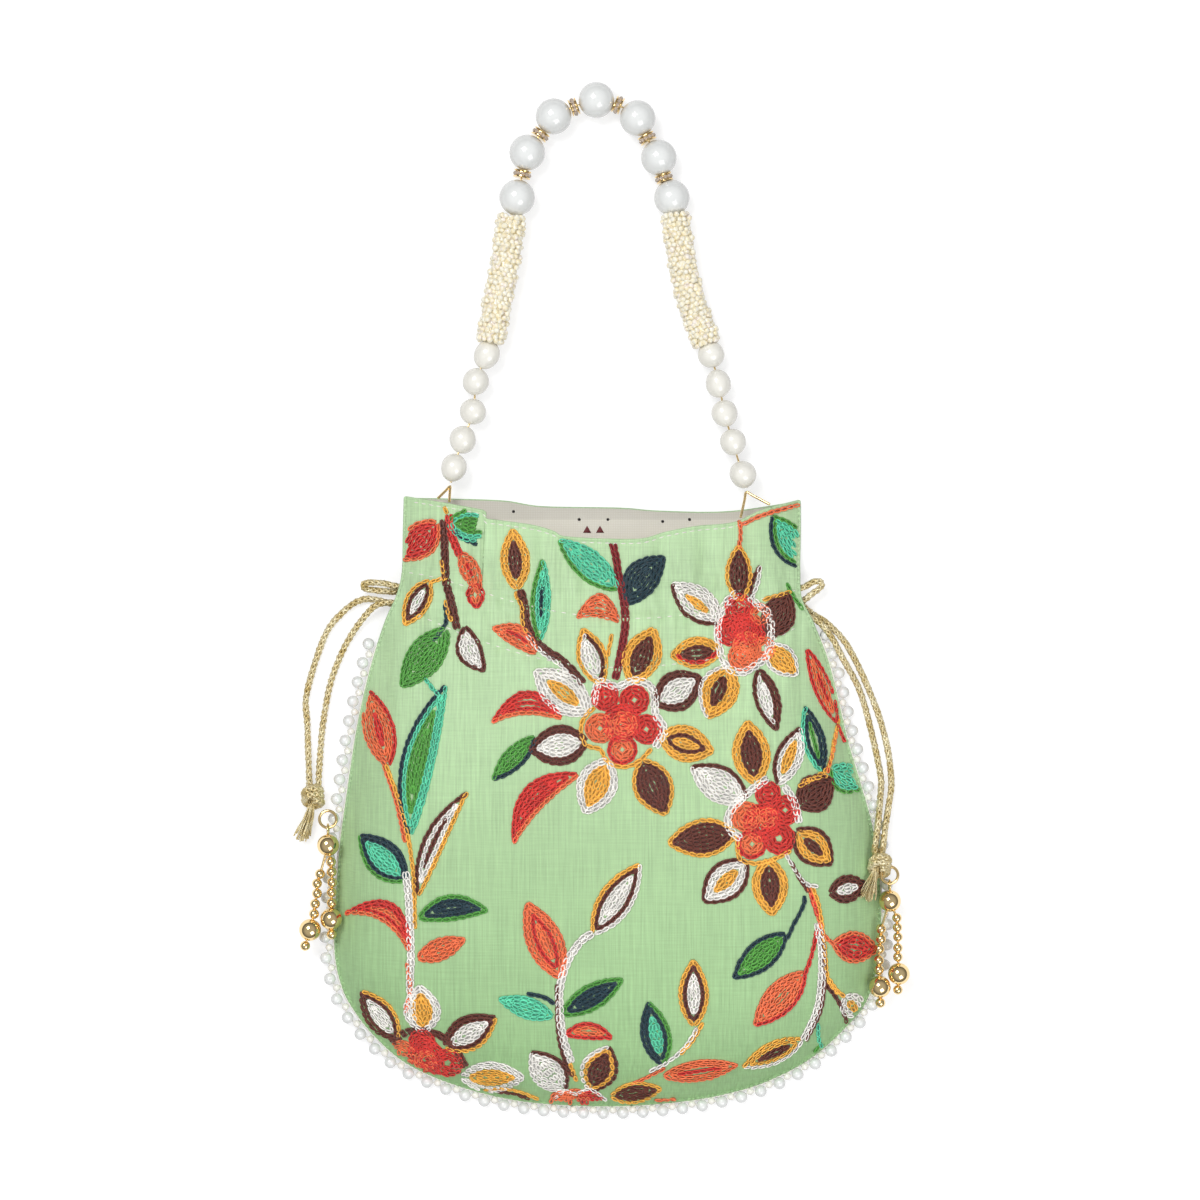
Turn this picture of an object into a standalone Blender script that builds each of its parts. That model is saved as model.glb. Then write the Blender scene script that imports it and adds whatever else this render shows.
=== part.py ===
"""Potli bag: a silk drawstring pouch with a pearl handle, lying on its back.

X runs across the bag, Y from its bottom to its handle and Z up from the surface it lies on.
The origin is under the middle of the bag, handle included. Lengths are in metres.
"""

import math

import bmesh
import bpy
import numpy as np
from mathutils import Vector
from mathutils.geometry import delaunay_2d_cdt

MM = 0.001

# Driving dimensions of the pouch
GAP = 0.3 * MM
CLOTH = 1.0 * MM
LINING_THICKNESS = 0.8 * MM
RIM_TOP = GAP + 2 * CLOTH
MOUTH_RISE = 14 * MM
CASING_RISE = 19 * MM
BODY_RISE = 25 * MM
CROWN_REACH = 17 * MM
EMBROIDERY_LIFT = 0.7 * MM
CASING_LIFT = 8.5 * MM
CASING_HALF_BAND = 9 * MM
CASING_FADE = 6 * MM
CASING_ARCH = 14 * MM
GATHER_PITCH = 17 * MM
GATHER_DEPTH = 0.5 * MM

# Driving dimensions of the trimmings
CORD_RADIUS = 1.4 * MM
EDGE_PEARL_RADIUS = 2.4 * MM
EDGE_SMALL_RADIUS = 1.4 * MM
EDGE_PEARL_PITCH = 7.9 * MM
EDGE_THREAD_RADIUS = 0.45 * MM
LARGE_PEARL_RADIUS = 7.0 * MM
SMALL_PEARL_RADIUS = 5.1 * MM
WOVEN_TUBE_RADIUS = 5.6 * MM
BEAD_BORE_RADIUS = 1.2 * MM
HANDLE_WIRE_RADIUS = 0.4 * MM
HANDLE_Z = 7.3 * MM
BALL_RADIUS = 4.4 * MM
BEAD_RADIUS = 2.35 * MM
RING_RADIUS = 3.4 * MM
RING_WIRE_RADIUS = 0.6 * MM
TASSEL_Z = 9.8 * MM
TASSEL_DROOP = 0.4 * MM
STRAND_THREAD_RADIUS = 0.5 * MM
LOOP_WIRE_RADIUS = 0.6 * MM
KNOT_RADIUS = 4.2 * MM
TAIL_RADII = [1.6 * MM, 1.8 * MM, 2.2 * MM, 2.6 * MM]
PEARL_BORE_RADIUS = 2.0 * MM
CORD_STEP = 7.2 * MM

# The mouth's front edge, left corner to right corner, and the higher back edge, in mm
FRONT_EDGE = [(-81.6, 41.6), (-65.8, 38.6), (-49.2, 35.2), (-30.2, 29.8), (-18, 25.8), (-3.4, 24.4),
              (13, 24.4), (22.5, 27), (35, 29.4), (50, 31), (61.4, 36), (76.6, 40.2)]
BACK_EDGE = [(-81.6, 41.6), (-61, 41.2), (-41.4, 40.4), (-26.6, 38.2), (4.6, 37.6), (20.6, 36.4),
             (48.2, 36.2), (76.6, 40.2)]
# The seam from the left mouth corner down, round the bottom and up to the right mouth corner, in mm
SEAM = [(-81.6, 41.6), (-82.0, 26), (-82.2, 11.2), (-84.2, 2), (-88.6, -7.6), (-92.4, -18), (-96.4, -32),
        (-100.8, -52.4), (-104.6, -77.6), (-107.6, -100), (-109.2, -124), (-109.4, -142),
        (-106.6, -155), (-102.0, -164), (-93.8, -174.4), (-81, -185.4), (-62.2, -193.8),
        (-39.4, -199.8), (-16, -202.2), (8, -202.4), (30, -200.6), (48, -197.4), (64, -192.4),
        (81, -183.4), (95, -171), (103.2, -160.6), (107.6, -146), (109, -130), (108.4, -112),
        (105.8, -92), (100.6, -73), (95.8, -57), (91.8, -40), (87.6, -23.6), (81.6, -9), (76.6, 1),
        (76.2, 12), (76.6, 26), (76.6, 40.2)]

# Silk and thread colours, sRGB
MINT = "B4DAA4"
LINING_GREY = "D9D4CF"
RED = "D0232B"
CORAL = "EC6440"
AMBER = "EFAC32"
MAROON = "5A2427"
WHITE = "EFEEEA"
NAVY = "16262F"
TEAL = "62C9A2"
LEAF = "4F9A35"
PEARL = "E4E2DC"
IVORY = "E9E2CF"
GOLD = "D9A441"
CORD_GOLD = "D8C07A"


# Helpers

def linear(hex_colour):
    """An sRGB hex colour as linear RGBA."""
    channels = [int(hex_colour[i:i + 2], 16) / 255 for i in (0, 2, 4)]
    return [c / 12.92 if c <= 0.04045 else ((c + 0.055) / 1.055) ** 2.4 for c in channels] + [1.0]


def material(name, hex_colour, roughness, metallic=0.0):
    """The named Principled material, made once."""
    made = bpy.data.materials.get(name)
    if made is None:
        made = bpy.data.materials.new(name)
        made.use_nodes = True
        shader = made.node_tree.nodes["Principled BSDF"]
        shader.inputs["Base Color"].default_value = linear(hex_colour)
        shader.inputs["Roughness"].default_value = roughness
        shader.inputs["Metallic"].default_value = metallic
    return made


def place(name, mesh, materials, parent=None, smooth_angle=50):
    """A scene object of this mesh, smooth up to smooth_angle, kept where it is under its parent."""
    mesh.name = name
    for one in materials:
        mesh.materials.append(one)
    mesh.shade_smooth()
    mesh.set_sharp_from_angle(angle=math.radians(smooth_angle))
    made = bpy.data.objects.new(name, mesh)
    bpy.context.scene.collection.objects.link(made)
    if parent is not None:
        made.parent = parent
        made.matrix_parent_inverse = parent.matrix_world.inverted()
    return made


def pivot(name, location, parent=None):
    """An empty on a joint's axis."""
    made = bpy.data.objects.new(name, None)
    made.empty_display_size = 0.01
    bpy.context.scene.collection.objects.link(made)
    if parent is not None:
        made.parent = parent
        made.matrix_parent_inverse = parent.matrix_world.inverted()
    made.location = location
    bpy.context.view_layer.update()
    return made


def mm_points(points):
    """Millimetre points as a float array in metres."""
    return np.array(points, float) * MM


def smooth_path(points, step):
    """Points at an even step along a smooth curve through the given ones."""
    points = np.asarray(points, float)
    ends = [2 * points[0] - points[1]], [2 * points[-1] - points[-2]]
    controls = np.concatenate([ends[0], points, ends[1]])
    fine = [points[0]]
    for a, b, c, d in zip(controls, controls[1:], controls[2:], controls[3:]):
        for t in np.linspace(0, 1, 13)[1:]:
            fine.append(0.5 * (2 * b + (c - a) * t + (2 * a - 5 * b + 4 * c - d) * t**2
                               + (3 * b - a - 3 * c + d) * t**3))
    fine = np.array(fine)
    along = np.concatenate([[0], np.cumsum(np.linalg.norm(np.diff(fine, axis=0), axis=1))])
    count = max(2, round(along[-1] / step) + 1)
    wanted = np.linspace(0, along[-1], count)
    return np.stack([np.interp(wanted, along, fine[:, k]) for k in range(fine.shape[1])], axis=1)


def mesh_of(points, faces):
    """A mesh with its faces turned outwards."""
    shape = bmesh.new()
    corners = [shape.verts.new(p) for p in points]
    for face in faces:
        shape.faces.new([corners[i] for i in face])
    return finish_shape(shape)


def join_rings(shape, one, other):
    """Faces between two rings of equally many corners."""
    size = len(one)
    for k in range(size):
        shape.faces.new((one[k], one[(k + 1) % size], other[(k + 1) % size], other[k]))


def finish_shape(shape):
    """The bmesh as a mesh with its faces turned outwards."""
    bmesh.ops.recalc_face_normals(shape, faces=shape.faces[:])
    if shape.calc_volume(signed=True) < 0:
        bmesh.ops.reverse_faces(shape, faces=shape.faces[:])
    mesh = bpy.data.meshes.new("shape")
    shape.to_mesh(mesh)
    shape.free()
    return mesh


def swept(path, radii, sides):
    """A closed round body along a path, with a radius for each of its points."""
    path = [Vector(p) for p in path]
    ahead, behind = path[1:] + path[-1:], path[:1] + path[:-1]
    tangents = [(b - a).normalized() for a, b in zip(behind, ahead)]
    across = tangents[0].orthogonal().normalized()
    points, faces = [], []
    for i, (centre, tangent, radius) in enumerate(zip(path, tangents, radii)):
        across = (across - tangent * across.dot(tangent)).normalized()
        other = tangent.cross(across)
        for k in range(sides):
            turn = 2 * math.pi * k / sides
            points.append(centre + radius * (math.cos(turn) * across + math.sin(turn) * other))
        if i:
            low = (i - 1) * sides
            for k in range(sides):
                nxt = (k + 1) % sides
                faces.append((low + k, low + nxt, low + sides + nxt, low + sides + k))
    faces.append(tuple(range(sides))[::-1])
    faces.append(tuple(range(len(points) - sides, len(points))))
    return mesh_of(points, faces)


def turned(profile, sides, axis_start, axis_dir):
    """A closed ring profile of (radius, distance along the axis) turned about that axis."""
    turn_to = Vector((0, 0, 1)).rotation_difference(Vector(axis_dir).normalized())
    rings = len(profile)
    points, faces = [], []
    for k in range(sides):
        turn = 2 * math.pi * k / sides
        for radius, along in profile:
            local = Vector((radius * math.cos(turn), radius * math.sin(turn), along))
            points.append(Vector(axis_start) + turn_to @ local)
    for k in range(sides):
        for i in range(rings):
            a, b = k * rings + i, k * rings + (i + 1) % rings
            c, d = ((k + 1) % sides) * rings + (i + 1) % rings, ((k + 1) % sides) * rings + i
            faces.append((a, b, c, d))
    return mesh_of(points, faces)


def bored_bead(centre, direction, radius, half_length, sides, rings, bore=BEAD_BORE_RADIUS):
    """A bead with a through hole: an ellipsoid of revolution."""
    open_angle = math.asin(min(0.9, (bore + 0.25 * MM) / radius))
    profile = []
    for angle in np.linspace(open_angle, math.pi - open_angle, rings):
        profile.append((radius * math.sin(angle), -half_length * math.cos(angle)))
    profile += [(bore, profile[-1][1]), (bore, profile[0][1])]
    return turned(profile, sides, centre, direction)


def ball(centre, radius, sides, rings):
    """A closed ball."""
    shape = bmesh.new()
    bmesh.ops.create_uvsphere(shape, u_segments=sides, v_segments=rings, radius=radius)
    bmesh.ops.translate(shape, verts=shape.verts[:], vec=centre)
    return finish_shape(shape)


def torus(centre, normal, radius, wire_radius, sides=14, wire_sides=5):
    """A closed ring of round wire."""
    profile = [(radius + wire_radius * math.cos(2 * math.pi * k / wire_sides),
                wire_radius * math.sin(2 * math.pi * k / wire_sides)) for k in range(wire_sides)]
    return turned(profile, sides, centre, normal)


def cut(target, cutter_mesh, operation="DIFFERENCE"):
    """Applies one Boolean to the target's mesh."""
    cutter = bpy.data.objects.new("cutter", cutter_mesh)
    bpy.context.scene.collection.objects.link(cutter)
    cutter.hide_render = True
    cutter.display_type = "WIRE"
    step = target.modifiers.new("cut", "BOOLEAN")
    step.operation = operation
    step.object = cutter
    evaluated = target.evaluated_get(bpy.context.evaluated_depsgraph_get())
    made = bpy.data.meshes.new_from_object(evaluated)
    target.modifiers.clear()
    target.data = made
    bpy.data.objects.remove(cutter)


# Form of the pouch

class Form:
    """The seam's path and the heights that follow from it."""

    seam = smooth_path(mm_points(SEAM), 2 * MM)
    front_edge = smooth_path(mm_points(FRONT_EDGE), 2 * MM)
    back_edge = smooth_path(mm_points(BACK_EDGE), 2 * MM)


def seam_distance(x, y):
    """Distance from the nearest point of the seam."""
    return float(np.min(np.hypot(Form.seam[:, 0] - x, Form.seam[:, 1] - y)))


def ease(value, low, high):
    """0 below low, 1 above high, smooth between."""
    share = min(1.0, max(0.0, (value - low) / (high - low)))
    return share * share * (3 - 2 * share)


def rise_at(y):
    """How far the front stands over the seam, from the mouth to the belly."""
    neck = MOUTH_RISE + (CASING_RISE - MOUTH_RISE) * ease(-y, -30 * MM, 0)
    return neck + (BODY_RISE - CASING_RISE) * ease(-y, 15 * MM, 80 * MM)


def casing_lift(y):
    """The seam's edge arches over the cords where they leave the casing."""
    return CASING_LIFT * math.exp(-((y / CASING_ARCH) ** 2))


def gathers(x, y):
    """Soft upright folds that die out below the casing and towards the mouth."""
    strength = ease(-y, -34 * MM, -8 * MM) * (1 - ease(-y, 12 * MM, 70 * MM))
    return GATHER_DEPTH * strength * math.cos(2 * math.pi * x / GATHER_PITCH + 1.1 * math.sin(y / (22 * MM)))


def front_z(x, y):
    """Height of the front panel's outer face."""
    near = 1 - math.exp(-seam_distance(x, y) / CROWN_REACH)
    lift = casing_lift(y) * (1 - 0.85 * near)
    return RIM_TOP + lift + rise_at(y) * near + gathers(x, y) * near


def inside(points, polygon):
    """Which of the points lie inside the polygon."""
    x, y = points[:, 0], points[:, 1]
    hit = np.zeros(len(points), bool)
    for (ax, ay), (bx, by) in zip(polygon, np.roll(polygon, -1, axis=0)):
        crosses = (ay > y) != (by > y)
        hit ^= crosses & (x < (bx - ax) * (y - ay) / (by - ay + 1e-12) + ax)
    return hit


# Embroidery fields, in mm

def lens(base, tip, width, bend=0.0, pointed=True, corners=10):
    """A leaf or petal outline from its base to its tip, bent sideways by bend of its length."""
    base, tip = np.array(base, float) * MM, np.array(tip, float) * MM
    axis = tip - base
    side = np.array([-axis[1], axis[0]])
    half = width * MM / 2 / np.linalg.norm(axis)
    steps = np.linspace(0, 1, corners // 2 + 1)
    bow = base + np.outer(steps, axis) + np.outer(4 * bend * steps * (1 - steps), side)
    swell = np.sin(math.pi * steps) ** 0.9 if pointed else np.sqrt(np.maximum(0, 1 - (2 * steps - 1) ** 2))
    left, right = bow + np.outer(half * swell, side), bow - np.outer(half * swell, side)
    return np.concatenate([left, right[-2:0:-1]])


FLOWERS = {
    # centre, heart radius, then a petal as (bearing in degrees, reach, length, width, rim, heart)
    "middle": ((4.6, -47.6), 10.5, [
        (109, 25, 17, 15, WHITE, AMBER), (63, 29, 18, 15, AMBER, MAROON), (27, 27, 18, 15, WHITE, MAROON),
        (343, 27, 18, 16, AMBER, MAROON), (296, 29, 19, 15, AMBER, MAROON), (251, 28, 18, 16, WHITE, AMBER),
        (198, 25, 17, 15, MAROON, WHITE), (150, 28, 17, 14, WHITE, AMBER)]),
    "upper": ((52.6, -13.6), 8.0, [
        (93, 22, 15, 14, MAROON, AMBER), (27, 20, 15, 13, AMBER, MAROON), (333, 22, 15, 14, WHITE, AMBER),
        (294, 24, 15, 14, MAROON, WHITE), (252, 23, 15, 14, AMBER, MAROON), (196, 21, 15, 13, AMBER, MAROON),
        (143, 20, 15, 14, MAROON, WHITE)]),
    "right": ((62.6, -85.6), 9.5, [
        (104, 24, 15, 15, WHITE, AMBER), (68, 24, 15, 14, AMBER, MAROON), (24, 20, 15, 13, MAROON, WHITE),
        (325, 21, 15, 13, AMBER, MAROON), (275, 22, 15, 15, WHITE, AMBER), (234, 27, 17, 15, MAROON, AMBER),
        (193, 26, 16, 14, AMBER, MAROON), (149, 24, 15, 14, WHITE, MAROON)]),
    "lower_left": ((-73.4, -179.6), 8.0, [
        (137, 23, 15, 13, MAROON, WHITE), (90, 18, 15, 15, AMBER, WHITE), (24, 22, 17, 14, MAROON, AMBER),
        (341, 27, 15, 12, WHITE, AMBER)]),
    "bottom": ((-11.4, -196.0), 6.0, [
        (130, 18, 14, 13, WHITE, MAROON), (60, 16, 14, 13, AMBER, MAROON), (5, 24, 14, 10, MAROON, AMBER)]),
}

# A leaf, bud or stem field as (base, tip, width, bend, colour)
LEAVES = [
    # left side
    ((-92, -35), (-97.5, -58), 9, 0.1, RED), ((-76, -78), (-75, -58), 11, 0.0, NAVY),
    ((-84, -108), (-93, -88), 10, 0.0, LEAF), ((-72, -106), (-54, -75.5), 13, 0.0, MAROON),
    ((-68, -130), (-47.5, -122.5), 11, 0.1, LEAF), ((-71, -143), (-59, -129), 9, 0.1, CORAL),
    ((-84, -128), (-106, -125), 8, 0.2, RED), ((-83, -112), (-92, -64), 4, 0.0, AMBER),
    ((-80, -154), (-83, -113), 4, 0.0, WHITE),
    # upper left
    ((-76.5, 38), (-75.5, 8.5), 10, 0.0, RED), ((-66, 36), (-63, 3), 3.5, 0.1, MAROON),
    ((-54, 36), (-56, 20), 9, 0.0, LEAF), ((-53, 19), (-54, -4), 8, 0.0, CORAL),
    ((-77, -14), (-74.5, 14), 9, 0.0, AMBER), ((-69, -16), (-81, -34), 8, 0.0, LEAF),
    ((-59, -8), (-54, -30), 9, 0.0, MAROON),
    # upper middle
    ((-38, 3), (-39, 29), 11, 0.0, AMBER), ((-34, -3), (-9, -31), 3.5, -0.15, CORAL),
    ((-27, -9), (-27, 11), 6, 0.0, LEAF), ((-34, -23), (-40, -5), 8, 0.0, CORAL),
    ((0, 24), (2, -20), 3.5, -0.1, MAROON), ((0, 8), (-16, 24), 9, 0.0, LEAF),
    ((6, 4), (22, 17), 10, 0.0, NAVY), ((-8, -8), (2, 5), 7, 0.1, CORAL),
    ((52, 31), (53, 22), 3, 0.0, CORAL), ((73, 30), (73, 17), 8, 0.0, LEAF),
    # left of the middle flower
    ((-24, -33), (-46, -48), 9, 0.15, RED), ((-29, -51), (-46, -70), 9, 0.1, LEAF),
    ((-13, -69), (-38, -96), 8, 0.15, RED),
    # right side
    ((80, -20), (92, -46), 8, 0.1, RED), ((83, -48), (84, -67), 8, 0.1, LEAF),
    ((92, -60), (95, -76), 7, 0.1, TEAL),
    # lower right
    ((71, -103), (80, -152), 3.5, 0.1, MAROON), ((80, -152), (78, -176), 3.5, 0.0, CORAL),
    ((88, -122), (100, -104), 10, 0.0, MAROON), ((73, -134), (49, -149), 9, 0.0, NAVY),
    ((76, -150), (58, -168), 9, 0.1, CORAL), ((92, -146), (103, -132), 9, 0.1, CORAL),
    ((93, -154), (101, -170), 9, 0.0, WHITE), ((75, -178), (54, -187), 10, 0.0, AMBER),
    ((33, -172), (38, -146), 11, 0.0, MAROON), ((30, -188), (52, -182), 7, 0.1, CORAL),
    ((14, -176), (27, -164), 9, 0.1, NAVY),
    # lower middle
    ((-14, -184), (-16, -142), 4, 0.15, WHITE), ((-22, -150), (-33, -120), 9, 0.0, CORAL),
    ((-6, -132), (12, -105), 11, 0.0, AMBER), ((-22, -162), (-43, -157), 9, 0.0, NAVY),
    ((-14, -164), (5, -149), 9, 0.0, LEAF), ((-14, -174), (1, -171), 7, 0.0, RED),
]


# A petal's inner field against the petal, and the corners of a flower's round heart
HEART_INSET = 0.22
HEART_WIDTH = 0.5
HEART_CORNERS = 10


def embroidery_fields():
    """Every stitched field as (outline, colour), later ones lying on earlier ones."""
    fields = []
    for base, tip, width, bend, colour in LEAVES:
        fields.append((lens(base, tip, width, bend, corners=8), colour))
    for centre, heart_radius, petals in FLOWERS.values():
        centre = np.array(centre)
        for bearing, reach, length, width, rim, heart in petals:
            way = np.array([math.cos(math.radians(bearing)), math.sin(math.radians(bearing))])
            base, tip = centre + way * (reach - length / 2), centre + way * (reach + length / 2)
            fields.append((lens(base, tip, width, pointed=False), rim))
            inset = HEART_INSET * (tip - base)
            base, tip = base + inset, tip - inset
            fields.append((lens(base, tip, HEART_WIDTH * width, pointed=False, corners=6), heart))
        around = np.linspace(0, 2 * math.pi, HEART_CORNERS, endpoint=False)
        ring = [centre + heart_radius * np.array([math.cos(a), math.sin(a)]) for a in around]
        fields.append((np.array(ring) * MM, RED))
    return fields


# Panels

def keep_within(points, border, margin):
    """Moves points that pass the border, or come nearer than margin, back to margin inside it."""
    moved = []
    for point in points:
        away = np.hypot(*(border - point).T)
        k = int(np.argmin(away))
        along = border[(k + 1) % len(border)] - border[k - 1]
        inward = np.array([-along[1], along[0]]) / np.linalg.norm(along)
        if (point - border[k]) @ inward < margin:
            point = border[k] + inward * margin
        moved.append(point)
    return np.array(moved)


def panel_outline(step):
    """The front panel's outline, anticlockwise: down the left seam, up the right, back along the mouth."""
    seam = smooth_path(mm_points(SEAM), step)
    mouth = smooth_path(mm_points(FRONT_EDGE), step)[::-1]
    return np.concatenate([seam, mouth[1:-1]])


def crown_points(outline, step):
    """Inner points: rows that follow the seam where the crown bends most, and a grid beyond them."""
    rows = []
    for depth, spacing in ((4 * MM, 10 * MM), (9 * MM, 11 * MM), (16 * MM, 12 * MM)):
        seam = smooth_path(mm_points(SEAM), spacing)
        along = np.gradient(seam, axis=0)
        inward = np.stack([-along[:, 1], along[:, 0]], axis=1)
        inward /= np.linalg.norm(inward, axis=1)[:, None]
        rows.append((seam + inward * depth)[1:-1])
    grid = []
    for y in np.arange(-178 * MM, -22 * MM, step):
        grid += [(x, y) for x in np.arange(-84 * MM, 85 * MM, step)]
    for y in np.arange(-20 * MM, 36 * MM, 8 * MM):
        grid += [(x, y) for x in np.arange(-63.75 * MM, 60 * MM, GATHER_PITCH / 4)]
    grid = np.array([p for p in grid if seam_distance(*p) > 20 * MM])
    points = np.concatenate(rows + [grid])
    points = points[inside(points, outline)]
    clear = [np.min(np.hypot(*(outline - p).T)) > 2.5 * MM for p in points]
    return points[clear]


def flat_mesh(outline, inner, fields):
    """Triangles over the outline, and for each the number of its topmost field, or -1."""
    points = [Vector(p) for p in outline]
    loops = [list(range(len(outline)))]
    for field, _ in fields:
        loops.append(list(range(len(points), len(points) + len(field))))
        points += [Vector(p) for p in field]
    points += [Vector(p) for p in inner]
    verts, _, faces, _, _, owners = delaunay_2d_cdt(points, [], loops, 1, 1e-6, True)
    kept, tops = [], []
    for face, owner in zip(faces, owners):
        if 0 in owner:
            kept.append(face)
            tops.append(max(owner) - 1)
    return [tuple(v) for v in verts], kept, tops


def rim_edges(faces):
    """The edges that belong to one face only, in their face's direction."""
    seen = {}
    for face in faces:
        for a, b in zip(face, face[1:] + face[:1]):
            seen.pop((b, a)) if (b, a) in seen else seen.setdefault((a, b), True)
    return list(seen)


def front_panel_mesh():
    """The crowned, gathered front with its stitched fields raised on it, and each face's colour."""
    outline = panel_outline(6.5 * MM)
    inner = crown_points(outline, 16 * MM)
    dense = panel_outline(2 * MM)
    fields = [(keep_within(field, dense, 1.5 * MM), colour) for field, colour in embroidery_fields()]
    verts, faces, tops = flat_mesh(outline, inner, fields)
    heights = [front_z(x, y) for x, y in verts]
    shape = bmesh.new()
    low = [shape.verts.new((x, y, z)) for (x, y), z in zip(verts, heights)]
    high = {}
    for face, top in zip(faces, tops):
        for i in face if top >= 0 else ():
            if i not in high:
                high[i] = shape.verts.new((*verts[i], heights[i] + EMBROIDERY_LIFT))
    colours = list(dict.fromkeys(colour for _, colour in fields))
    for face, top in zip(faces, tops):
        made = shape.faces.new([high[i] if top >= 0 else low[i] for i in face])
        made.material_index = 1 + colours.index(fields[top][1]) if top >= 0 else 0
    for a, b in rim_edges([face for face, top in zip(faces, tops) if top >= 0]):
        shape.faces.new((high[b], high[a], low[a], low[b]))
    verts, faces, _ = flat_mesh(outline, inner, [])
    under = [shape.verts.new((x, y, front_z(x, y) - CLOTH)) for x, y in verts]
    for face in faces:
        shape.faces.new([under[i] for i in face[::-1]])
    top_rim = {(round(v.co.x, 6), round(v.co.y, 6)): v for v in low}
    for a, b in rim_edges(faces):
        ends = [top_rim[(round(under[i].co.x, 6), round(under[i].co.y, 6))] for i in (a, b)]
        shape.faces.new((ends[1], ends[0], under[a], under[b]))
    loose = [v for v in shape.verts if not v.link_faces]
    bmesh.ops.delete(shape, geom=loose, context="VERTS")
    return finish_shape(shape), colours


def back_panel_mesh():
    """The flat back, cut to the seam and to the mouth's higher back edge."""
    seam = smooth_path(mm_points(SEAM), 6 * MM)
    mouth = smooth_path(mm_points(BACK_EDGE), 8 * MM)[::-1]
    outline = np.concatenate([seam, mouth[1:-1]])
    verts, faces, _ = flat_mesh(outline, np.empty((0, 2)), [])
    shape = bmesh.new()
    levels = [[shape.verts.new((x, y, z)) for x, y in verts] for z in (0.0, CLOTH)]
    for face in faces:
        shape.faces.new([levels[1][i] for i in face])
        shape.faces.new([levels[0][i] for i in face[::-1]])
    for a, b in rim_edges(faces):
        shape.faces.new((levels[1][b], levels[1][a], levels[0][a], levels[0][b]))
    return finish_shape(shape)


def lining_half_width(y, edge_inset):
    """Left and right limits of the lining at this height of the bag."""
    seam = Form.seam
    middle = len(seam) // 2
    left = np.interp(y, seam[:middle, 1][::-1], seam[:middle, 0][::-1])
    right = np.interp(y, seam[middle:, 1], seam[middle:, 0])
    return left + edge_inset, right - edge_inset


LINING_ROWS = [-193, -190, -182, -166, -140, -105, -65, -30, -15, -9.5, 9.5, 15]
LINING_ACROSS = 9
LINING_INSET = 8 * MM
LINING_NECK_INSET = 10 * MM
CHANNEL_BACK = 3.3 * MM
CHANNEL_FRONT = 5.4 * MM
LINING_SLACK = 2.2 * MM


def lining_mesh():
    """An open-mouthed bag: rings of one cross-section from the bottom up, outside and inside."""
    shape = bmesh.new()
    skins = []
    for wall in (0.0, LINING_THICKNESS):
        rings = []
        for y in [row * MM for row in LINING_ROWS] + [None]:
            front = [lining_point("front", y, k, wall) for k in range(LINING_ACROSS + 1)]
            back = [lining_point("back", y, k, wall) for k in range(LINING_ACROSS + 1)]
            rings.append([shape.verts.new(p) for p in front + back[::-1]])
        skins.append(rings)
    for rings in skins:
        for lower, upper in zip(rings, rings[1:]):
            join_rings(shape, lower, upper)
        shape.faces.new(rings[0])
    join_rings(shape, skins[0][-1], skins[1][-1])
    return finish_shape(shape)


def lining_point(side, y, k, wall):
    """A point of the lining's outer skin, or inner one when wall is its thickness; y None is the mouth."""
    edge = Form.front_edge if side == "front" else Form.back_edge
    across = (1 - math.cos(math.pi * k / LINING_ACROSS)) / 2
    height = 30 * MM if y is None else y
    channel = 1 - ease(abs(height), CASING_HALF_BAND, CASING_HALF_BAND + CASING_FADE)
    left, right = lining_half_width(height, LINING_INSET + LINING_NECK_INSET * channel + 1.5 * wall)
    x = left + (right - left) * across
    if y is None:
        y = float(np.interp(x, edge[:, 0], edge[:, 1])) - 0.4 * MM
    elif y < -150 * MM:
        y += wall
    low = CLOTH + GAP + CHANNEL_BACK * channel
    high = front_z(x, y) - CLOTH - LINING_SLACK - CHANNEL_FRONT * channel
    if side == "back":
        return x, y, low + wall
    return x, y, max(high, low + 3 * LINING_THICKNESS) - wall


# Where the edging starts and ends, and how far its pearls' centres stand out from the seam
EDGING_START_Y = -18 * MM
EDGING_END_Y = -14 * MM
LARGE_OFFSET = 3.4 * MM
SMALL_OFFSET = 2.2 * MM
LEFT_LEAN = 1.0 * MM


def edging_mesh():
    """The picot strand: large pearls outside, small ones between them next to the cloth."""
    seam = smooth_path(mm_points(SEAM), 1 * MM)
    middle = len(seam) // 2
    first = int(np.argmin(np.abs(seam[:middle, 1] - EDGING_START_Y)))
    last = middle + int(np.argmin(np.abs(seam[middle:, 1] - EDGING_END_Y)))
    seam = seam[first:last]
    length = np.linalg.norm(np.diff(seam, axis=0), axis=1).sum()
    count = round(length / EDGE_PEARL_PITCH)
    spots = smooth_path(seam, length / (2 * count))
    along = np.gradient(spots, axis=0)
    outward = np.stack([along[:, 1], -along[:, 0]], axis=1)
    outward /= np.linalg.norm(outward, axis=1)[:, None]
    path, radii = [], []
    centres = []
    for k, (spot, out) in enumerate(zip(spots, outward)):
        lean = ease(-spot[0], 60 * MM, 105 * MM)
        large = k % 2 == 0
        offset = LARGE_OFFSET + LEFT_LEAN * lean if large else SMALL_OFFSET + 0.6 * LEFT_LEAN * lean
        radius = EDGE_PEARL_RADIUS if large else EDGE_SMALL_RADIUS
        centres.append((np.array([*(spot + out * offset), EDGE_PEARL_RADIUS + 0.1 * MM]), radius))
    for k, (centre, radius) in enumerate(centres):
        before, after = centres[max(k - 1, 0)][0], centres[min(k + 1, len(centres) - 1)][0]
        way = (after - before) / np.linalg.norm(after - before)
        stations = (-0.88, 0.0, 0.88) if radius == EDGE_PEARL_RADIUS else (-0.6, 0.6)
        for share in stations:
            path.append(centre + way * radius * share)
            radii.append(max(EDGE_THREAD_RADIUS, radius * math.sqrt(1 - share**2)))
    return swept(path, radii, 5)


# Handle

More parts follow.
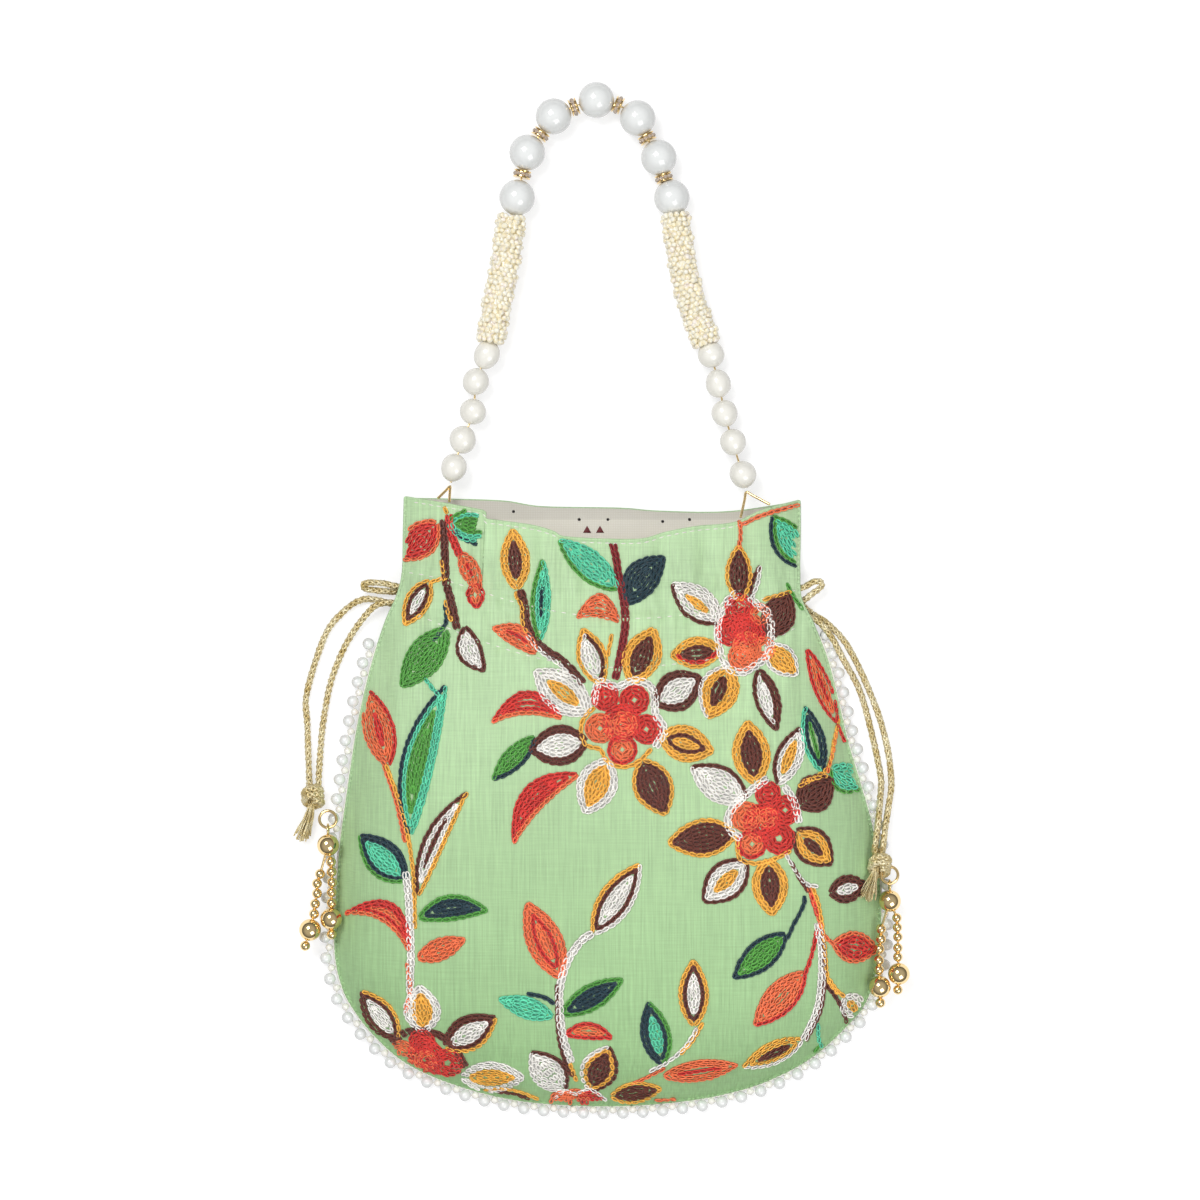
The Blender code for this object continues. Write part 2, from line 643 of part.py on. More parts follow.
# The strand's centre line from the left loop up, over and down to the right loop, in mm
STRAND = [(-63.1, 47.4), (-62.2, 53.2), (-58.2, 64.8), (-54.2, 76), (-53, 88), (-49, 98.4), (-47.6, 105),
          (-41, 137), (-38.8, 155.6), (-36.6, 161.6), (-34.6, 170.8), (-32.6, 179.6), (-27.4, 186.8),
          (-21.8, 194.4), (-13.8, 198), (-5, 200.8), (3.8, 198.8), (11.6, 193.6), (15.4, 185.6),
          (20.2, 177.6), (22.2, 169.6), (25.4, 161.6), (26.8, 154.8), (30.6, 130), (39.2, 102.8),
          (41, 98.6), (44.2, 87.2), (46.6, 75.2), (49.8, 63.6), (53.8, 50.4), (55.0, 45.2)]
LARGE_PEARLS = [(-36.6, 161.6), (-32.6, 179.6), (-21.8, 194.4), (-5, 200.8), (11.6, 193.6), (20.2, 177.6),
                (25.4, 161.6)]
RONDELLES = [(-34.6, 170.8), (-27.4, 186.8), (-13.8, 198), (3.8, 198.8), (15.4, 185.6), (22.2, 169.6)]
# A rondelle's section as (radius, distance along the strand)
RONDELLE_PROFILE = [(1.2, -0.9), (2.4, -1.0), (3.6, 0.0), (2.4, 1.0), (1.2, 0.9)]
SMALL_PEARLS = {"left": [(-49, 98.4), (-53, 88), (-54.2, 76), (-58.2, 64.8), (-62.2, 53.2)],
                "right": [(41, 98.6), (44.2, 87.2), (46.6, 75.2), (49.8, 63.6), (53.8, 50.4)]}
WOVEN_TUBES = {"left": [(-39.0, 153.6), (-41, 137), (-43.8, 123.6), (-47.4, 104.4)],
               "right": [(26.8, 154.4), (30.6, 130), (34.4, 117), (39.4, 103.6)]}
# Each loop's first foot, apex and second foot
LOOPS = {"left": [(-68.2, 41.0, 11.5), (-63.4, 46.0, 8.4), (-63.6, 39.6, 11.5)],
         "right": [(52.8, 33.4, 11.5), (55.2, 43.6, 8.4), (64.4, 38.6, 11.5)]}
LOOP_APEX_Z = 8.4 * MM
HANDLE_AXIS_LEFT = (-65.9, 40.3, 11.5)


def strand_height(y):
    """The strand lies on the surface and climbs to the loops at the mouth."""
    return HANDLE_Z + (LOOP_APEX_Z - HANDLE_Z) * (1 - ease(y, 44 * MM, 75 * MM))


def strand_path(step):
    """The handle's centre line in space."""
    return [np.array([x, y, strand_height(y)]) for x, y in smooth_path(mm_points(STRAND), step)]


def bead_on_strand(spot, line):
    """The nearest point of the strand and its direction there."""
    spot = np.array(spot) * MM
    k = int(np.argmin([np.hypot(*(p[:2] - spot)) for p in line]))
    k = min(max(k, 1), len(line) - 2)
    return line[k], line[k + 1] - line[k - 1]


def add_handle():
    """The beaded handle on its wire, swinging about the line between its two loops."""
    axis = pivot("handle_pivot", mm_points(HANDLE_AXIS_LEFT))
    pearl = material("pearl", PEARL, 0.25)
    ivory = material("ivory_pearl", IVORY, 0.3)
    gold = material("polished_gold", GOLD, 0.2, 1.0)
    line = strand_path(0.5 * MM)
    for number, spot in enumerate(LARGE_PEARLS, 1):
        centre, way = bead_on_strand(spot, line)
        half = 0.97 * LARGE_PEARL_RADIUS
        bead = bored_bead(centre, way, LARGE_PEARL_RADIUS, half, 10, 5, PEARL_BORE_RADIUS)
        place(f"handle_pearl_{number}", bead, [pearl], axis, 80)
    for number, spot in enumerate(RONDELLES, 1):
        centre, way = bead_on_strand(spot, line)
        place(f"rondelle_{number}", turned(mm_points(RONDELLE_PROFILE), 10, centre, way), [gold], axis, 30)
    for side, spots in SMALL_PEARLS.items():
        for number, spot in enumerate(spots, 1):
            centre, way = bead_on_strand(spot, line)
            bead = bored_bead(centre, way, SMALL_PEARL_RADIUS, SMALL_PEARL_RADIUS, 8, 5)
            place(f"small_pearl_{side}_{number}", bead, [ivory], axis, 80)
    for side, spots in WOVEN_TUBES.items():
        place(f"woven_tube_{side}", woven_tube_mesh(spots), [ivory], axis, 60)
    wire = strand_path(5 * MM)
    place("handle_wire", swept(wire, [HANDLE_WIRE_RADIUS] * len(wire), 5), [gold], axis)
    for side, spots in LOOPS.items():
        foot, apex, other = mm_points(spots)
        bends = [foot, 0.4 * foot + 0.6 * apex, apex, 0.4 * other + 0.6 * apex, other]
        place(f"gold_loop_{side}", swept(bends, [LOOP_WIRE_RADIUS] * len(bends), 6), [gold], axis)


TUBE_SIDES = 8


def woven_tube_mesh(spots):
    """A beaded sleeve round the wire, with its bore."""
    line = [Vector((x, y, strand_height(y))) for x, y in smooth_path(mm_points(spots), 8 * MM)]
    turns = np.linspace(0, 2 * math.pi, TUBE_SIDES, endpoint=False)
    shape = bmesh.new()
    skins = []
    for radius in (WOVEN_TUBE_RADIUS, BEAD_BORE_RADIUS + GAP):
        rings = []
        for i, centre in enumerate(line):
            way = (line[min(i + 1, len(line) - 1)] - line[max(i - 1, 0)]).normalized()
            across = Vector((0, 0, 1)).cross(way).normalized()
            spokes = [math.cos(t) * across + math.sin(t) * way.cross(across) for t in turns]
            rings.append([shape.verts.new(centre + radius * spoke) for spoke in spokes])
        skins.append(rings)
    for rings in skins:
        for low, high in zip(rings, rings[1:]):
            join_rings(shape, low, high)
    for end in (0, -1):
        join_rings(shape, skins[0][end], skins[1][end])
    return finish_shape(shape)


# Drawcords

# Each cord in mm: from its knot through the back casing, round its loop and back through the front one
CORD_ROUTES = {
    "left": [
        (-120.2, -73.6, 3.6), (-121.2, -50, 1.6), (-121.4, -37, 1.6), (-114.2, -14.2, 1.6),
        (-107, -4.6, 1.6), (-99.6, 0.4, 1.7), (-92, 0.2, 2.4), (-82, -2.6, 2.7), (-70, -3.4, 2.7),
        (0, -3.4, 2.7), (58, -3.4, 2.7), (69, -3.3, 2.7), (73, -2.8, 4.4), (76.6, -1.2, 6.0),
        (81, 2.4, 6.2), (84.6, 5.0, 6.2), (85.8, 7.0, 6.4), (83.2, 8.0, 6.6), (78, 5.4, 6.3),
        (74, 4.2, 7.4), (70, 3.6, 9.4), (62, 3.4, 12.8), (38, 3.4, 17.6), (18, 2.8, 19.1),
        (-18, -3.2, 19.1), (-40, -3.6, 17.6), (-66, -3.6, 13.0), (-72, -3.2, 10.8),
        (-77, -2.4, 8.8), (-84, -0.8, 6.8), (-92.6, -1.4, 5.6), (-98.6, -7, 3.4),
        (-104.6, -15.6, 1.8), (-109.8, -26.8, 1.6), (-113, -38, 1.6), (-115.4, -54, 1.6),
        (-116.6, -73.6, 3.6)],
    "right": [
        (109.8, -99, 8.6), (111.2, -90, 6.0), (112.6, -82, 4.0), (113.8, -72, 2.2),
        (111.6, -56, 1.6), (106, -38.6, 1.6), (96.4, -18.4, 1.6), (88, -9, 1.8), (84, -6.4, 2.0),
        (80, -3.6, 2.3), (76, 0.2, 2.5), (72, 2.6, 2.7), (66, 3.2, 2.7), (0, 3.2, 2.7),
        (-72, 3.2, 2.7), (-84, 3.6, 2.8), (-93, 4.2, 3.6), (-98.2, 5.2, 5.0), (-97.4, 7.2, 6.4),
        (-91, 7.2, 6.6), (-84, 5.6, 6.4), (-80, 5.0, 7.2), (-75, 4.6, 9.4), (-68, 4.2, 12.6),
        (-40, 3.4, 15.0), (-18, 2.6, 16.0), (18, -3.0, 16.0), (38, -3.4, 15.0), (58, -5.0, 12.6),
        (64, -5.2, 10.8), (70, -5.4, 8.4), (76, -5.8, 6.2), (80.6, -6.4, 5.4), (84.6, -8.6, 5.6),
        (89.5, -14.5, 6.2), (94, -23, 5.8), (100.8, -35.6, 3.4), (105.4, -51, 1.8),
        (109.4, -70, 2.6), (109.2, -78, 4.8), (108.4, -86, 7.0), (106.6, -99, 9.0)],
}
KNOTS = {"left": (-118.8, -78.6, 4.5), "right": (108.5, -105.6, 10.0)}
TAIL_ENDS = {"left": (-123.4, -95, 3.2), "right": (103.4, -118.4, 13.4)}
TAIL_ROOTS = {"left": (-117.6, -81, 4.0), "right": (106.8, -108.2, 10.2)}
RINGS = {"left": (-112.4, -87.4, 8.2), "right": (112.4, -109.6, 10.0)}
TOP_BALLS = {"left": (-112.2, -97.7, 9.8), "right": (112.6, -120, 9.8)}
EYE_RADIUS = 2.1 * MM
EYE_WIRE_RADIUS = 0.45 * MM
# A strand's spots in order; the large ball is at this place among them
BIG_BALL = 5
BIG_REACH = 5.2 * MM
BIG_BORE_RADIUS = 0.85 * MM
STRANDS = {
    "left": {"inner": [(-111, -104.4), (-110.8, -108.4), (-110.6, -112.6), (-110.8, -116.6), (-110.8, -120.8),
                       (-111, -127.2), (-110.8, -133.4)],
             "outer": [(-115.4, -109.2), (-116.6, -113), (-116.6, -117), (-117.4, -121.2), (-117.8, -125.2),
                       (-119.4, -131.6), (-121.4, -138)]},
    "right": {"inner": [(109, -131.2), (109, -135.2), (108.4, -139.2), (108.2, -143.8), (108.2, -147.6),
                        (108.6, -154.4), (108.8, -160.8)],
              "outer": [(115.4, -126.8), (115.6, -130.6), (115.8, -134.4), (115.8, -138.8), (115.8, -142.4),
                        (116.2, -149.2), (115.8, -155.6)]},
}


def add_cord(side, lurex):
    """One drawcord as a bevelled curve, and its knot with the frayed tail."""
    route = smooth_path(mm_points(CORD_ROUTES[side]), CORD_STEP)
    curve = bpy.data.curves.new(f"drawcord_{side}", "CURVE")
    curve.dimensions = "3D"
    curve.bevel_depth = CORD_RADIUS
    curve.bevel_resolution = 2
    curve.use_fill_caps = True
    line = curve.splines.new("POLY")
    line.points.add(len(route) - 1)
    for point, spot in zip(line.points, route):
        point.co = (*spot, 1)
    curve.materials.append(lurex)
    bpy.context.scene.collection.objects.link(bpy.data.objects.new(f"drawcord_{side}", curve))
    knot = place(f"knot_{side}", ball(mm_points(KNOTS[side]), KNOT_RADIUS, 9, 7), [lurex], None, 80)
    root, end = mm_points(TAIL_ROOTS[side]), mm_points(TAIL_ENDS[side])
    fray = [root + (end - root) * share for share in np.linspace(0, 1, len(TAIL_RADII))]
    cut(knot, swept(fray, TAIL_RADII, 8), "UNION")
    for end in (route[0], route[-1]):
        way = mm_points(KNOTS[side]) - end
        way *= 3 * MM / np.linalg.norm(way)
        cut(knot, swept([end - way, end + way], [CORD_RADIUS + GAP] * 2, 10))
    cut(knot, torus(mm_points(RINGS[side]), (0, 0, 1), RING_RADIUS, RING_WIRE_RADIUS + GAP, 14, 6))


def add_tassel(side, gold):
    """Jump ring, top ball with its eye, and two strands of balls, each hung on its own pivot."""
    centre = mm_points(RINGS[side])
    place(f"jump_ring_{side}", torus(centre, (0, 0, 1), RING_RADIUS, RING_WIRE_RADIUS), [gold], None, 80)
    swing = pivot(f"tassel_{side}_pivot", centre)
    top = mm_points(TOP_BALLS[side])
    head = place(f"tassel_{side}_top_ball", ball(top, BALL_RADIUS, 10, 7), [gold], swing, 80)
    eye = centre + (top - centre) / np.linalg.norm(top - centre) * (RING_RADIUS + 0.8 * MM)
    eye[2] = centre[2]
    across = np.cross(top - centre, (0, 0, 1))
    cut(head, torus(eye, across, EYE_RADIUS, EYE_WIRE_RADIUS, 10, 5), "UNION")
    for which, spots in STRANDS[side].items():
        heights = np.linspace(TASSEL_Z, TASSEL_Z - TASSEL_DROOP, len(spots))
        spots = [np.array([x * MM, y * MM, z]) for (x, y), z in zip(spots, heights)]
        first = spots[0] - top
        start = top + first / np.linalg.norm(first) * (BALL_RADIUS + GAP)
        hang = pivot(f"tassel_{side}_{which}_pivot", start, swing)
        place(f"tassel_{side}_{which}_strand", strand_mesh(start, spots), [gold], hang, 70)
        way = spots[BIG_BALL + 1] - spots[BIG_BALL - 1]
        big = bored_bead(spots[BIG_BALL], way, BALL_RADIUS, 0.9 * BALL_RADIUS, 10, 6, BIG_BORE_RADIUS)
        place(f"tassel_{side}_{which}_ball", big, [gold], hang, 80)


def strand_mesh(start, spots):
    """The strand's small balls on their thread, thin where it runs through the large ball."""
    small = min(BEAD_RADIUS, 0.49 * float(np.linalg.norm(spots[1] - spots[0])))
    path, radii = [start], [STRAND_THREAD_RADIUS]
    for k, spot in enumerate(spots):
        way = spots[min(k + 1, len(spots) - 1)] - spots[max(k - 1, 0)]
        way = way / np.linalg.norm(way)
        if k == BIG_BALL:
            path += [spot - way * BIG_REACH, spot + way * BIG_REACH]
            radii += [STRAND_THREAD_RADIUS] * 2
        else:
            for share in (-0.9, -0.45, 0.45, 0.9):
                path.append(spot + way * share * small)
                radii.append(small * math.sqrt(1 - share**2))
    return swept(path, radii, 6)


def clear_scene():
    """Removes what the scene already holds."""
    for old in list(bpy.data.objects):
        bpy.data.objects.remove(old)


def main():
    clear_scene()
    silk = material("mint_silk", MINT, 0.55)
    mesh, colours = front_panel_mesh()
    threads = [material(f"thread_{colour.lower()}", colour, 0.5) for colour in colours]
    place("front_panel", mesh, [silk] + threads)
    place("back_panel", back_panel_mesh(), [silk])
    place("lining", lining_mesh(), [material("lining_cotton", LINING_GREY, 0.8)])
    place("pearl_edging", edging_mesh(), [material("edging_pearl", PEARL, 0.3)], None, 80)
    add_handle()
    lurex = material("cord_lurex", CORD_GOLD, 0.4, 0.6)
    gold = material("polished_gold", GOLD, 0.2, 1.0)
    for side in ("left", "right"):
        add_cord(side, lurex)
        add_tassel(side, gold)


main()
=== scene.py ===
# %% [markdown]
# # A potli bag in green silk
#
# A potli is a drawstring pouch. This one has an embroidered silk front, a strung pearl handle, two
# metallic drawcords with ball tassels and a pearl edging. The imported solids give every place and
# size. This script dresses them, piece by piece, and each piece rides on the body that carries it.

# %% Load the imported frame
import math

import bmesh
import bpy
import numpy as np
from mathutils import Matrix, Vector


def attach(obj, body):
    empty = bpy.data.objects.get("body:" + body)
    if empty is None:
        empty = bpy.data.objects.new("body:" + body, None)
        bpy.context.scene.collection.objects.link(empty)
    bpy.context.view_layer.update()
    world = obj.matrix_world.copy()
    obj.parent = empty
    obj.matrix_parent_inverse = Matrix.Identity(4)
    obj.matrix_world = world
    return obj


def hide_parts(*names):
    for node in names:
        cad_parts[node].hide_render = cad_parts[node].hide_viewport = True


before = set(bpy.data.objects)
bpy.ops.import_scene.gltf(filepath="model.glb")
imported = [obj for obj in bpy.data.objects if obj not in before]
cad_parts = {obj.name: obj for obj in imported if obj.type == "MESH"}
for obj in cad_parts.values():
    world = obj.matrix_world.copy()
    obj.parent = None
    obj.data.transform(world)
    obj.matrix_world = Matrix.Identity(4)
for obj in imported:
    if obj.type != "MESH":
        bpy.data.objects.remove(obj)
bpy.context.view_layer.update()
MM = 0.001
rng = np.random.default_rng(7)

# %% [markdown]
# ## Camera
#
# The bag lies on its back and was photographed square on, so the camera looks straight down. A long
# lens keeps the pouch from swelling towards the middle. One photo pixel covers 0.4 mm of the bag, so
# a place read from the photo turns into metres with one function.

# %% Camera and photo scale
PIXEL = 0.4 * MM
PHOTO_WIDTH = 1200 * PIXEL
MIDDLE_HEIGHT = 10 * MM


def spot(px, py):
    """A place in the photo as x and y on the bag, in metres."""
    return (px - 608.5) * PIXEL, (601 - py) * PIXEL


camera = bpy.data.objects.new("camera", bpy.data.cameras.new("camera"))
bpy.context.scene.collection.objects.link(camera)
camera.data.lens = 100
camera.data.sensor_width = 36
distance = PHOTO_WIDTH / 2 / (camera.data.sensor_width / 2 / camera.data.lens)
camera.location = (*spot(600, 600), MIDDLE_HEIGHT + distance)
bpy.context.scene.camera = camera
bpy.context.scene.view_settings.view_transform = "Standard"
print("camera", round(distance, 3), "m above the bag")

# %% [markdown]
# ## Helpers for nodes and colours
#
# Every finish here is a small tree of shader nodes. One helper adds a node, sets its options and
# fills its sockets, either with a value or with a link from another node. Colours are written as
# they look on screen and turned linear in one place.

# %% Node and colour helpers
def linear(colour):
    """An sRGB hex colour as linear RGBA."""
    channels = [int(colour[i:i + 2], 16) / 255 for i in (0, 2, 4)]
    return [c / 12.92 if c <= 0.04045 else ((c + 0.055) / 1.055) ** 2.4 for c in channels] + [1.0]


def node(tree, kind, inputs=None, **settings):
    """Adds a shader node. inputs maps a socket to a value or to another node's output."""
    made = tree.nodes.new("ShaderNode" + kind)
    for key, value in settings.items():
        setattr(made, key, value)
    for key, value in (inputs or {}).items():
        if isinstance(value, bpy.types.NodeSocket):
            tree.links.new(value, made.inputs[key])
        else:
            made.inputs[key].default_value = value
    return made


def finish_of(name, roughness, **sockets):
    """A new material, its tree, its Principled shader and its Object coordinates."""
    material = bpy.data.materials.new(name)
    material.use_nodes = True
    tree = material.node_tree
    shader = tree.nodes["Principled BSDF"]
    shader.inputs["Roughness"].default_value = roughness
    for key, value in sockets.items():
        shader.inputs[key.replace("_", " ")].default_value = value
    return material, tree, shader, node(tree, "TexCoord").outputs["Object"]


# %% [markdown]
# ## Helpers for paths and pieces
#
# Cords, seams and rows of stitches all follow smooth paths. A path starts as a few points, and a
# Catmull-Rom curve through them is read at an even step. Each finished mesh becomes an object at the
# origin, rides on its body and hides the plain solids that it stands for.

# %% Path and piece helpers
def smooth_path(points, step):
    """Points at an even step along a smooth curve through the given ones."""
    points = np.asarray(points, float)
    controls = np.concatenate([[2 * points[0] - points[1]], points, [2 * points[-1] - points[-2]]])
    fine = [points[0]]
    for a, b, c, d in zip(controls, controls[1:], controls[2:], controls[3:]):
        for t in np.linspace(0, 1, 13)[1:]:
            fine.append(0.5 * (2 * b + (c - a) * t + (2 * a - 5 * b + 4 * c - d) * t**2
                               + (3 * b - a - 3 * c + d) * t**3))
    return even_steps(np.array(fine), step)


def even_steps(line, step):
    """The same line, read at an even step."""
    along = np.concatenate([[0], np.cumsum(np.linalg.norm(np.diff(line, axis=0), axis=1))])
    wanted = np.linspace(0, along[-1], max(2, round(along[-1] / step) + 1))
    return np.stack([np.interp(wanted, along, line[:, k]) for k in range(line.shape[1])], axis=1)


def add_piece(name, mesh, material, body, replaced=(), smooth=True):
    """An object of this mesh that rides on a body and stands for CAD nodes."""
    piece = bpy.data.objects.new(name, mesh)
    bpy.context.scene.collection.objects.link(piece)
    mesh.name = name
    mesh.materials.clear()
    mesh.materials.append(material)
    if smooth:
        mesh.shade_smooth()
    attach(piece, body)
    if replaced:
        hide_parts(*replaced)
    print(name, len(mesh.polygons), "faces")
    return piece


def mesh_from(shape):
    """The bmesh as a mesh, with its faces outwards."""
    bmesh.ops.recalc_face_normals(shape, faces=shape.faces[:])
    mesh = bpy.data.meshes.new("shape")
    shape.to_mesh(mesh)
    shape.free()
    return mesh


def copies(template, matrices):
    """One mesh with a copy of the template under each 4 by 4 matrix."""
    points = np.empty(len(template.vertices) * 3)
    template.vertices.foreach_get("co", points)
    points = np.c_[points.reshape(-1, 3), np.ones(len(template.vertices))]
    shape = bmesh.new()
    for _ in matrices:
        shape.from_mesh(template)
    made = bpy.data.meshes.new("copies")
    shape.to_mesh(made)
    shape.free()
    made.vertices.foreach_set("co", np.einsum("nij,vj->nvi", np.asarray(matrices), points)[:, :, :3].ravel())
    made.update()
    return made


def aimed(place, direction, scale=1.0, roll=0.0):
    """A matrix that puts a template there, with its Z along the direction."""
    turn = Vector((0, 0, 1)).rotation_difference(Vector(direction)).to_matrix().to_4x4()
    sized = Matrix.Diagonal((*([scale] * 3 if np.isscalar(scale) else scale), 1))
    return np.array(Matrix.Translation(Vector(place)) @ turn @ Matrix.Rotation(roll, 4, "Z") @ sized)


def turned(profile, steps):
    """A profile of (radius, height) points spun a full turn about Z."""
    shape = bmesh.new()
    corners = [shape.verts.new((radius, 0, height)) for radius, height in profile]
    edges = [shape.edges.new(pair) for pair in zip(corners, corners[1:])]
    bmesh.ops.spin(shape, geom=corners + edges, angle=2 * math.pi, steps=steps, axis=(0, 0, 1),
                   cent=(0, 0, 0), use_merge=True)
    bmesh.ops.remove_doubles(shape, verts=shape.verts[:], dist=1e-6)
    return mesh_from(shape)


def wire(paths, radius, sides_level=1, closed=False):
    """Round wires along paths, as one mesh, made by a curve's bevel."""
    curve = bpy.data.curves.new("wire", "CURVE")
    curve.dimensions = "3D"
    curve.bevel_depth = radius
    curve.bevel_resolution = sides_level
    curve.use_fill_caps = True
    for path in paths:
        line = curve.splines.new("POLY")
        line.points.add(len(path) - 1)
        line.points.foreach_set("co", np.c_[np.asarray(path), np.ones(len(path))].ravel())
        line.use_cyclic_u = closed
    holder = bpy.data.objects.new("wire", curve)
    mesh = bpy.data.meshes.new_from_object(holder)
    bpy.data.objects.remove(holder)
    return mesh


# %% [markdown]
# ## Drawcords
#
# Each drawcord is a gold metallic braid about 2.8 mm thick. It leaves its knot, runs through the
# casing at the back, shows as a small loop at the far side, and comes back through the front of the
# casing. A plain tube would look like wire, so six strands are wound round the route, three each
# way, and each rises and sinks as it passes over and under the others.

# %% Cord routes, in millimetres
CORD_RADIUS = 1.4 * MM
CORD_ROUTES = {
    "left": [
        (-120.2, -73.6, 3.6), (-121.2, -50, 1.6), (-121.4, -37, 1.6), (-114.2, -14.2, 1.6),
        (-107, -4.6, 1.6), (-99.6, 0.4, 1.7), (-92, 0.2, 2.4), (-82, -2.6, 2.7), (-70, -3.4, 2.7),
        (0, -3.4, 2.7), (58, -3.4, 2.7), (69, -3.3, 2.7), (73, -2.8, 4.4), (76.6, -1.2, 6.0),
        (81, 2.4, 6.2), (84.6, 5.0, 6.2), (85.8, 7.0, 6.4), (83.2, 8.0, 6.6), (78, 5.4, 6.3),
        (74, 4.2, 7.4), (70, 3.6, 9.4), (62, 3.4, 12.8), (38, 3.4, 17.6), (18, 2.8, 19.1),
        (-18, -3.2, 19.1), (-40, -3.6, 17.6), (-66, -3.6, 13.0), (-72, -3.2, 10.8),
        (-77, -2.4, 8.8), (-84, -0.8, 6.8), (-92.6, -1.4, 5.6), (-98.6, -7, 3.4),
        (-104.6, -15.6, 1.8), (-109.8, -26.8, 1.6), (-113, -38, 1.6), (-115.4, -54, 1.6),
        (-116.6, -73.6, 3.6)],
    "right": [
        (109.8, -99, 8.6), (111.2, -90, 6.0), (112.6, -82, 4.0), (113.8, -72, 2.2),
        (111.6, -56, 1.6), (106, -38.6, 1.6), (96.4, -18.4, 1.6), (88, -9, 1.8), (84, -6.4, 2.0),
        (80, -3.6, 2.3), (76, 0.2, 2.5), (72, 2.6, 2.7), (66, 3.2, 2.7), (0, 3.2, 2.7),
        (-72, 3.2, 2.7), (-84, 3.6, 2.8), (-93, 4.2, 3.6), (-98.2, 5.2, 5.0), (-97.4, 7.2, 6.4),
        (-91, 7.2, 6.6), (-84, 5.6, 6.4), (-80, 5.0, 7.2), (-75, 4.6, 9.4), (-68, 4.2, 12.6),
        (-40, 3.4, 15.0), (-18, 2.6, 16.0), (18, -3.0, 16.0), (38, -3.4, 15.0), (58, -5.0, 12.6),
        (64, -5.2, 10.8), (70, -5.4, 8.4), (76, -5.8, 6.2), (80.6, -6.4, 5.4), (84.6, -8.6, 5.6),
        (89.5, -14.5, 6.2), (94, -23, 5.8), (100.8, -35.6, 3.4), (105.4, -51, 1.8),
        (109.4, -70, 2.6), (109.2, -78, 4.8), (108.4, -86, 7.0), (106.6, -99, 9.0)],
}
KNOTS = {"left": (-118.8, -78.6, 4.5), "right": (108.5, -105.6, 10.0)}
TAIL_ROOTS = {"left": (-117.6, -81, 4.0), "right": (106.8, -108.2, 10.2)}
TAIL_ENDS = {"left": (-123.4, -95, 3.2), "right": (103.4, -118.4, 13.4)}


# %% Braided strands round a route
def frames_along(path):
    """For each point of a path, two directions square to it that turn as little as possible."""
    tangents = np.gradient(path, axis=0)
    tangents /= np.linalg.norm(tangents, axis=1)[:, None]
    across = np.array(Vector(tangents[0]).orthogonal().normalized())
    sides = []
    for tangent in tangents:
        across = across - tangent * (across @ tangent)
        across /= np.linalg.norm(across)
        sides.append(across)
    sides = np.array(sides)
    return sides, np.cross(tangents, sides)


def braid(path, radius, strands=3, pitch=7.5 * MM):
    """Strands wound both ways round a path, each passing over and under the others."""
    one, other = frames_along(path)
    along = np.concatenate([[0], np.cumsum(np.linalg.norm(np.diff(path, axis=0), axis=1))])
    wound = []
    for way in (1, -1):
        for k in range(strands):
            turn = way * 2 * math.pi * along / pitch + 2 * math.pi * k / strands
            out = radius * (0.60 + 0.10 * np.cos(strands * turn + (way > 0) * math.pi))
            wound.append(path + out[:, None] * (np.cos(turn)[:, None] * one + np.sin(turn)[:, None] * other))
    return wire(wound, 0.40 * radius, 0)


# %% [markdown]
# ### The cord's finish
#
# The cord is a metallised yarn: pale gold, with bright glints where a filament faces the light. Fine
# noise paints each filament a little lighter or darker, partly as uneven tone and partly as painted
# glints, and the same noise gives the bump.

# %% Metallic yarn
def yarn_finish():
    material, tree, shader, place = finish_of("gold_yarn", 0.42, Metallic=0.55)
    grain = node(tree, "TexNoise", {"Vector": place, "Scale": 1900.0, "Detail": 3.0})
    patches = node(tree, "TexNoise", {"Vector": place, "Scale": 240.0})
    amount = node(tree, "Math", {0: grain.outputs[0], 1: patches.outputs[0]}, operation="MULTIPLY")
    # Painted glints: the noise lifts filaments towards pale gold, over their own uneven tone.
    spread = node(tree, "MapRange", {0: amount.outputs[0], 1: 0.12, 2: 0.42})
    colour = node(tree, "Mix", {0: spread.outputs[0], 6: linear("C7AE6A"), 7: linear("FBF3D2")}, data_type="RGBA")
    tree.links.new(colour.outputs[2], shader.inputs["Base Color"])
    bump = node(tree, "Bump", {"Height": grain.outputs[0], "Distance": 0.15 * MM, "Strength": 0.6})
    tree.links.new(bump.outputs[0], shader.inputs["Normal"])
    return material


gold_yarn = yarn_finish()

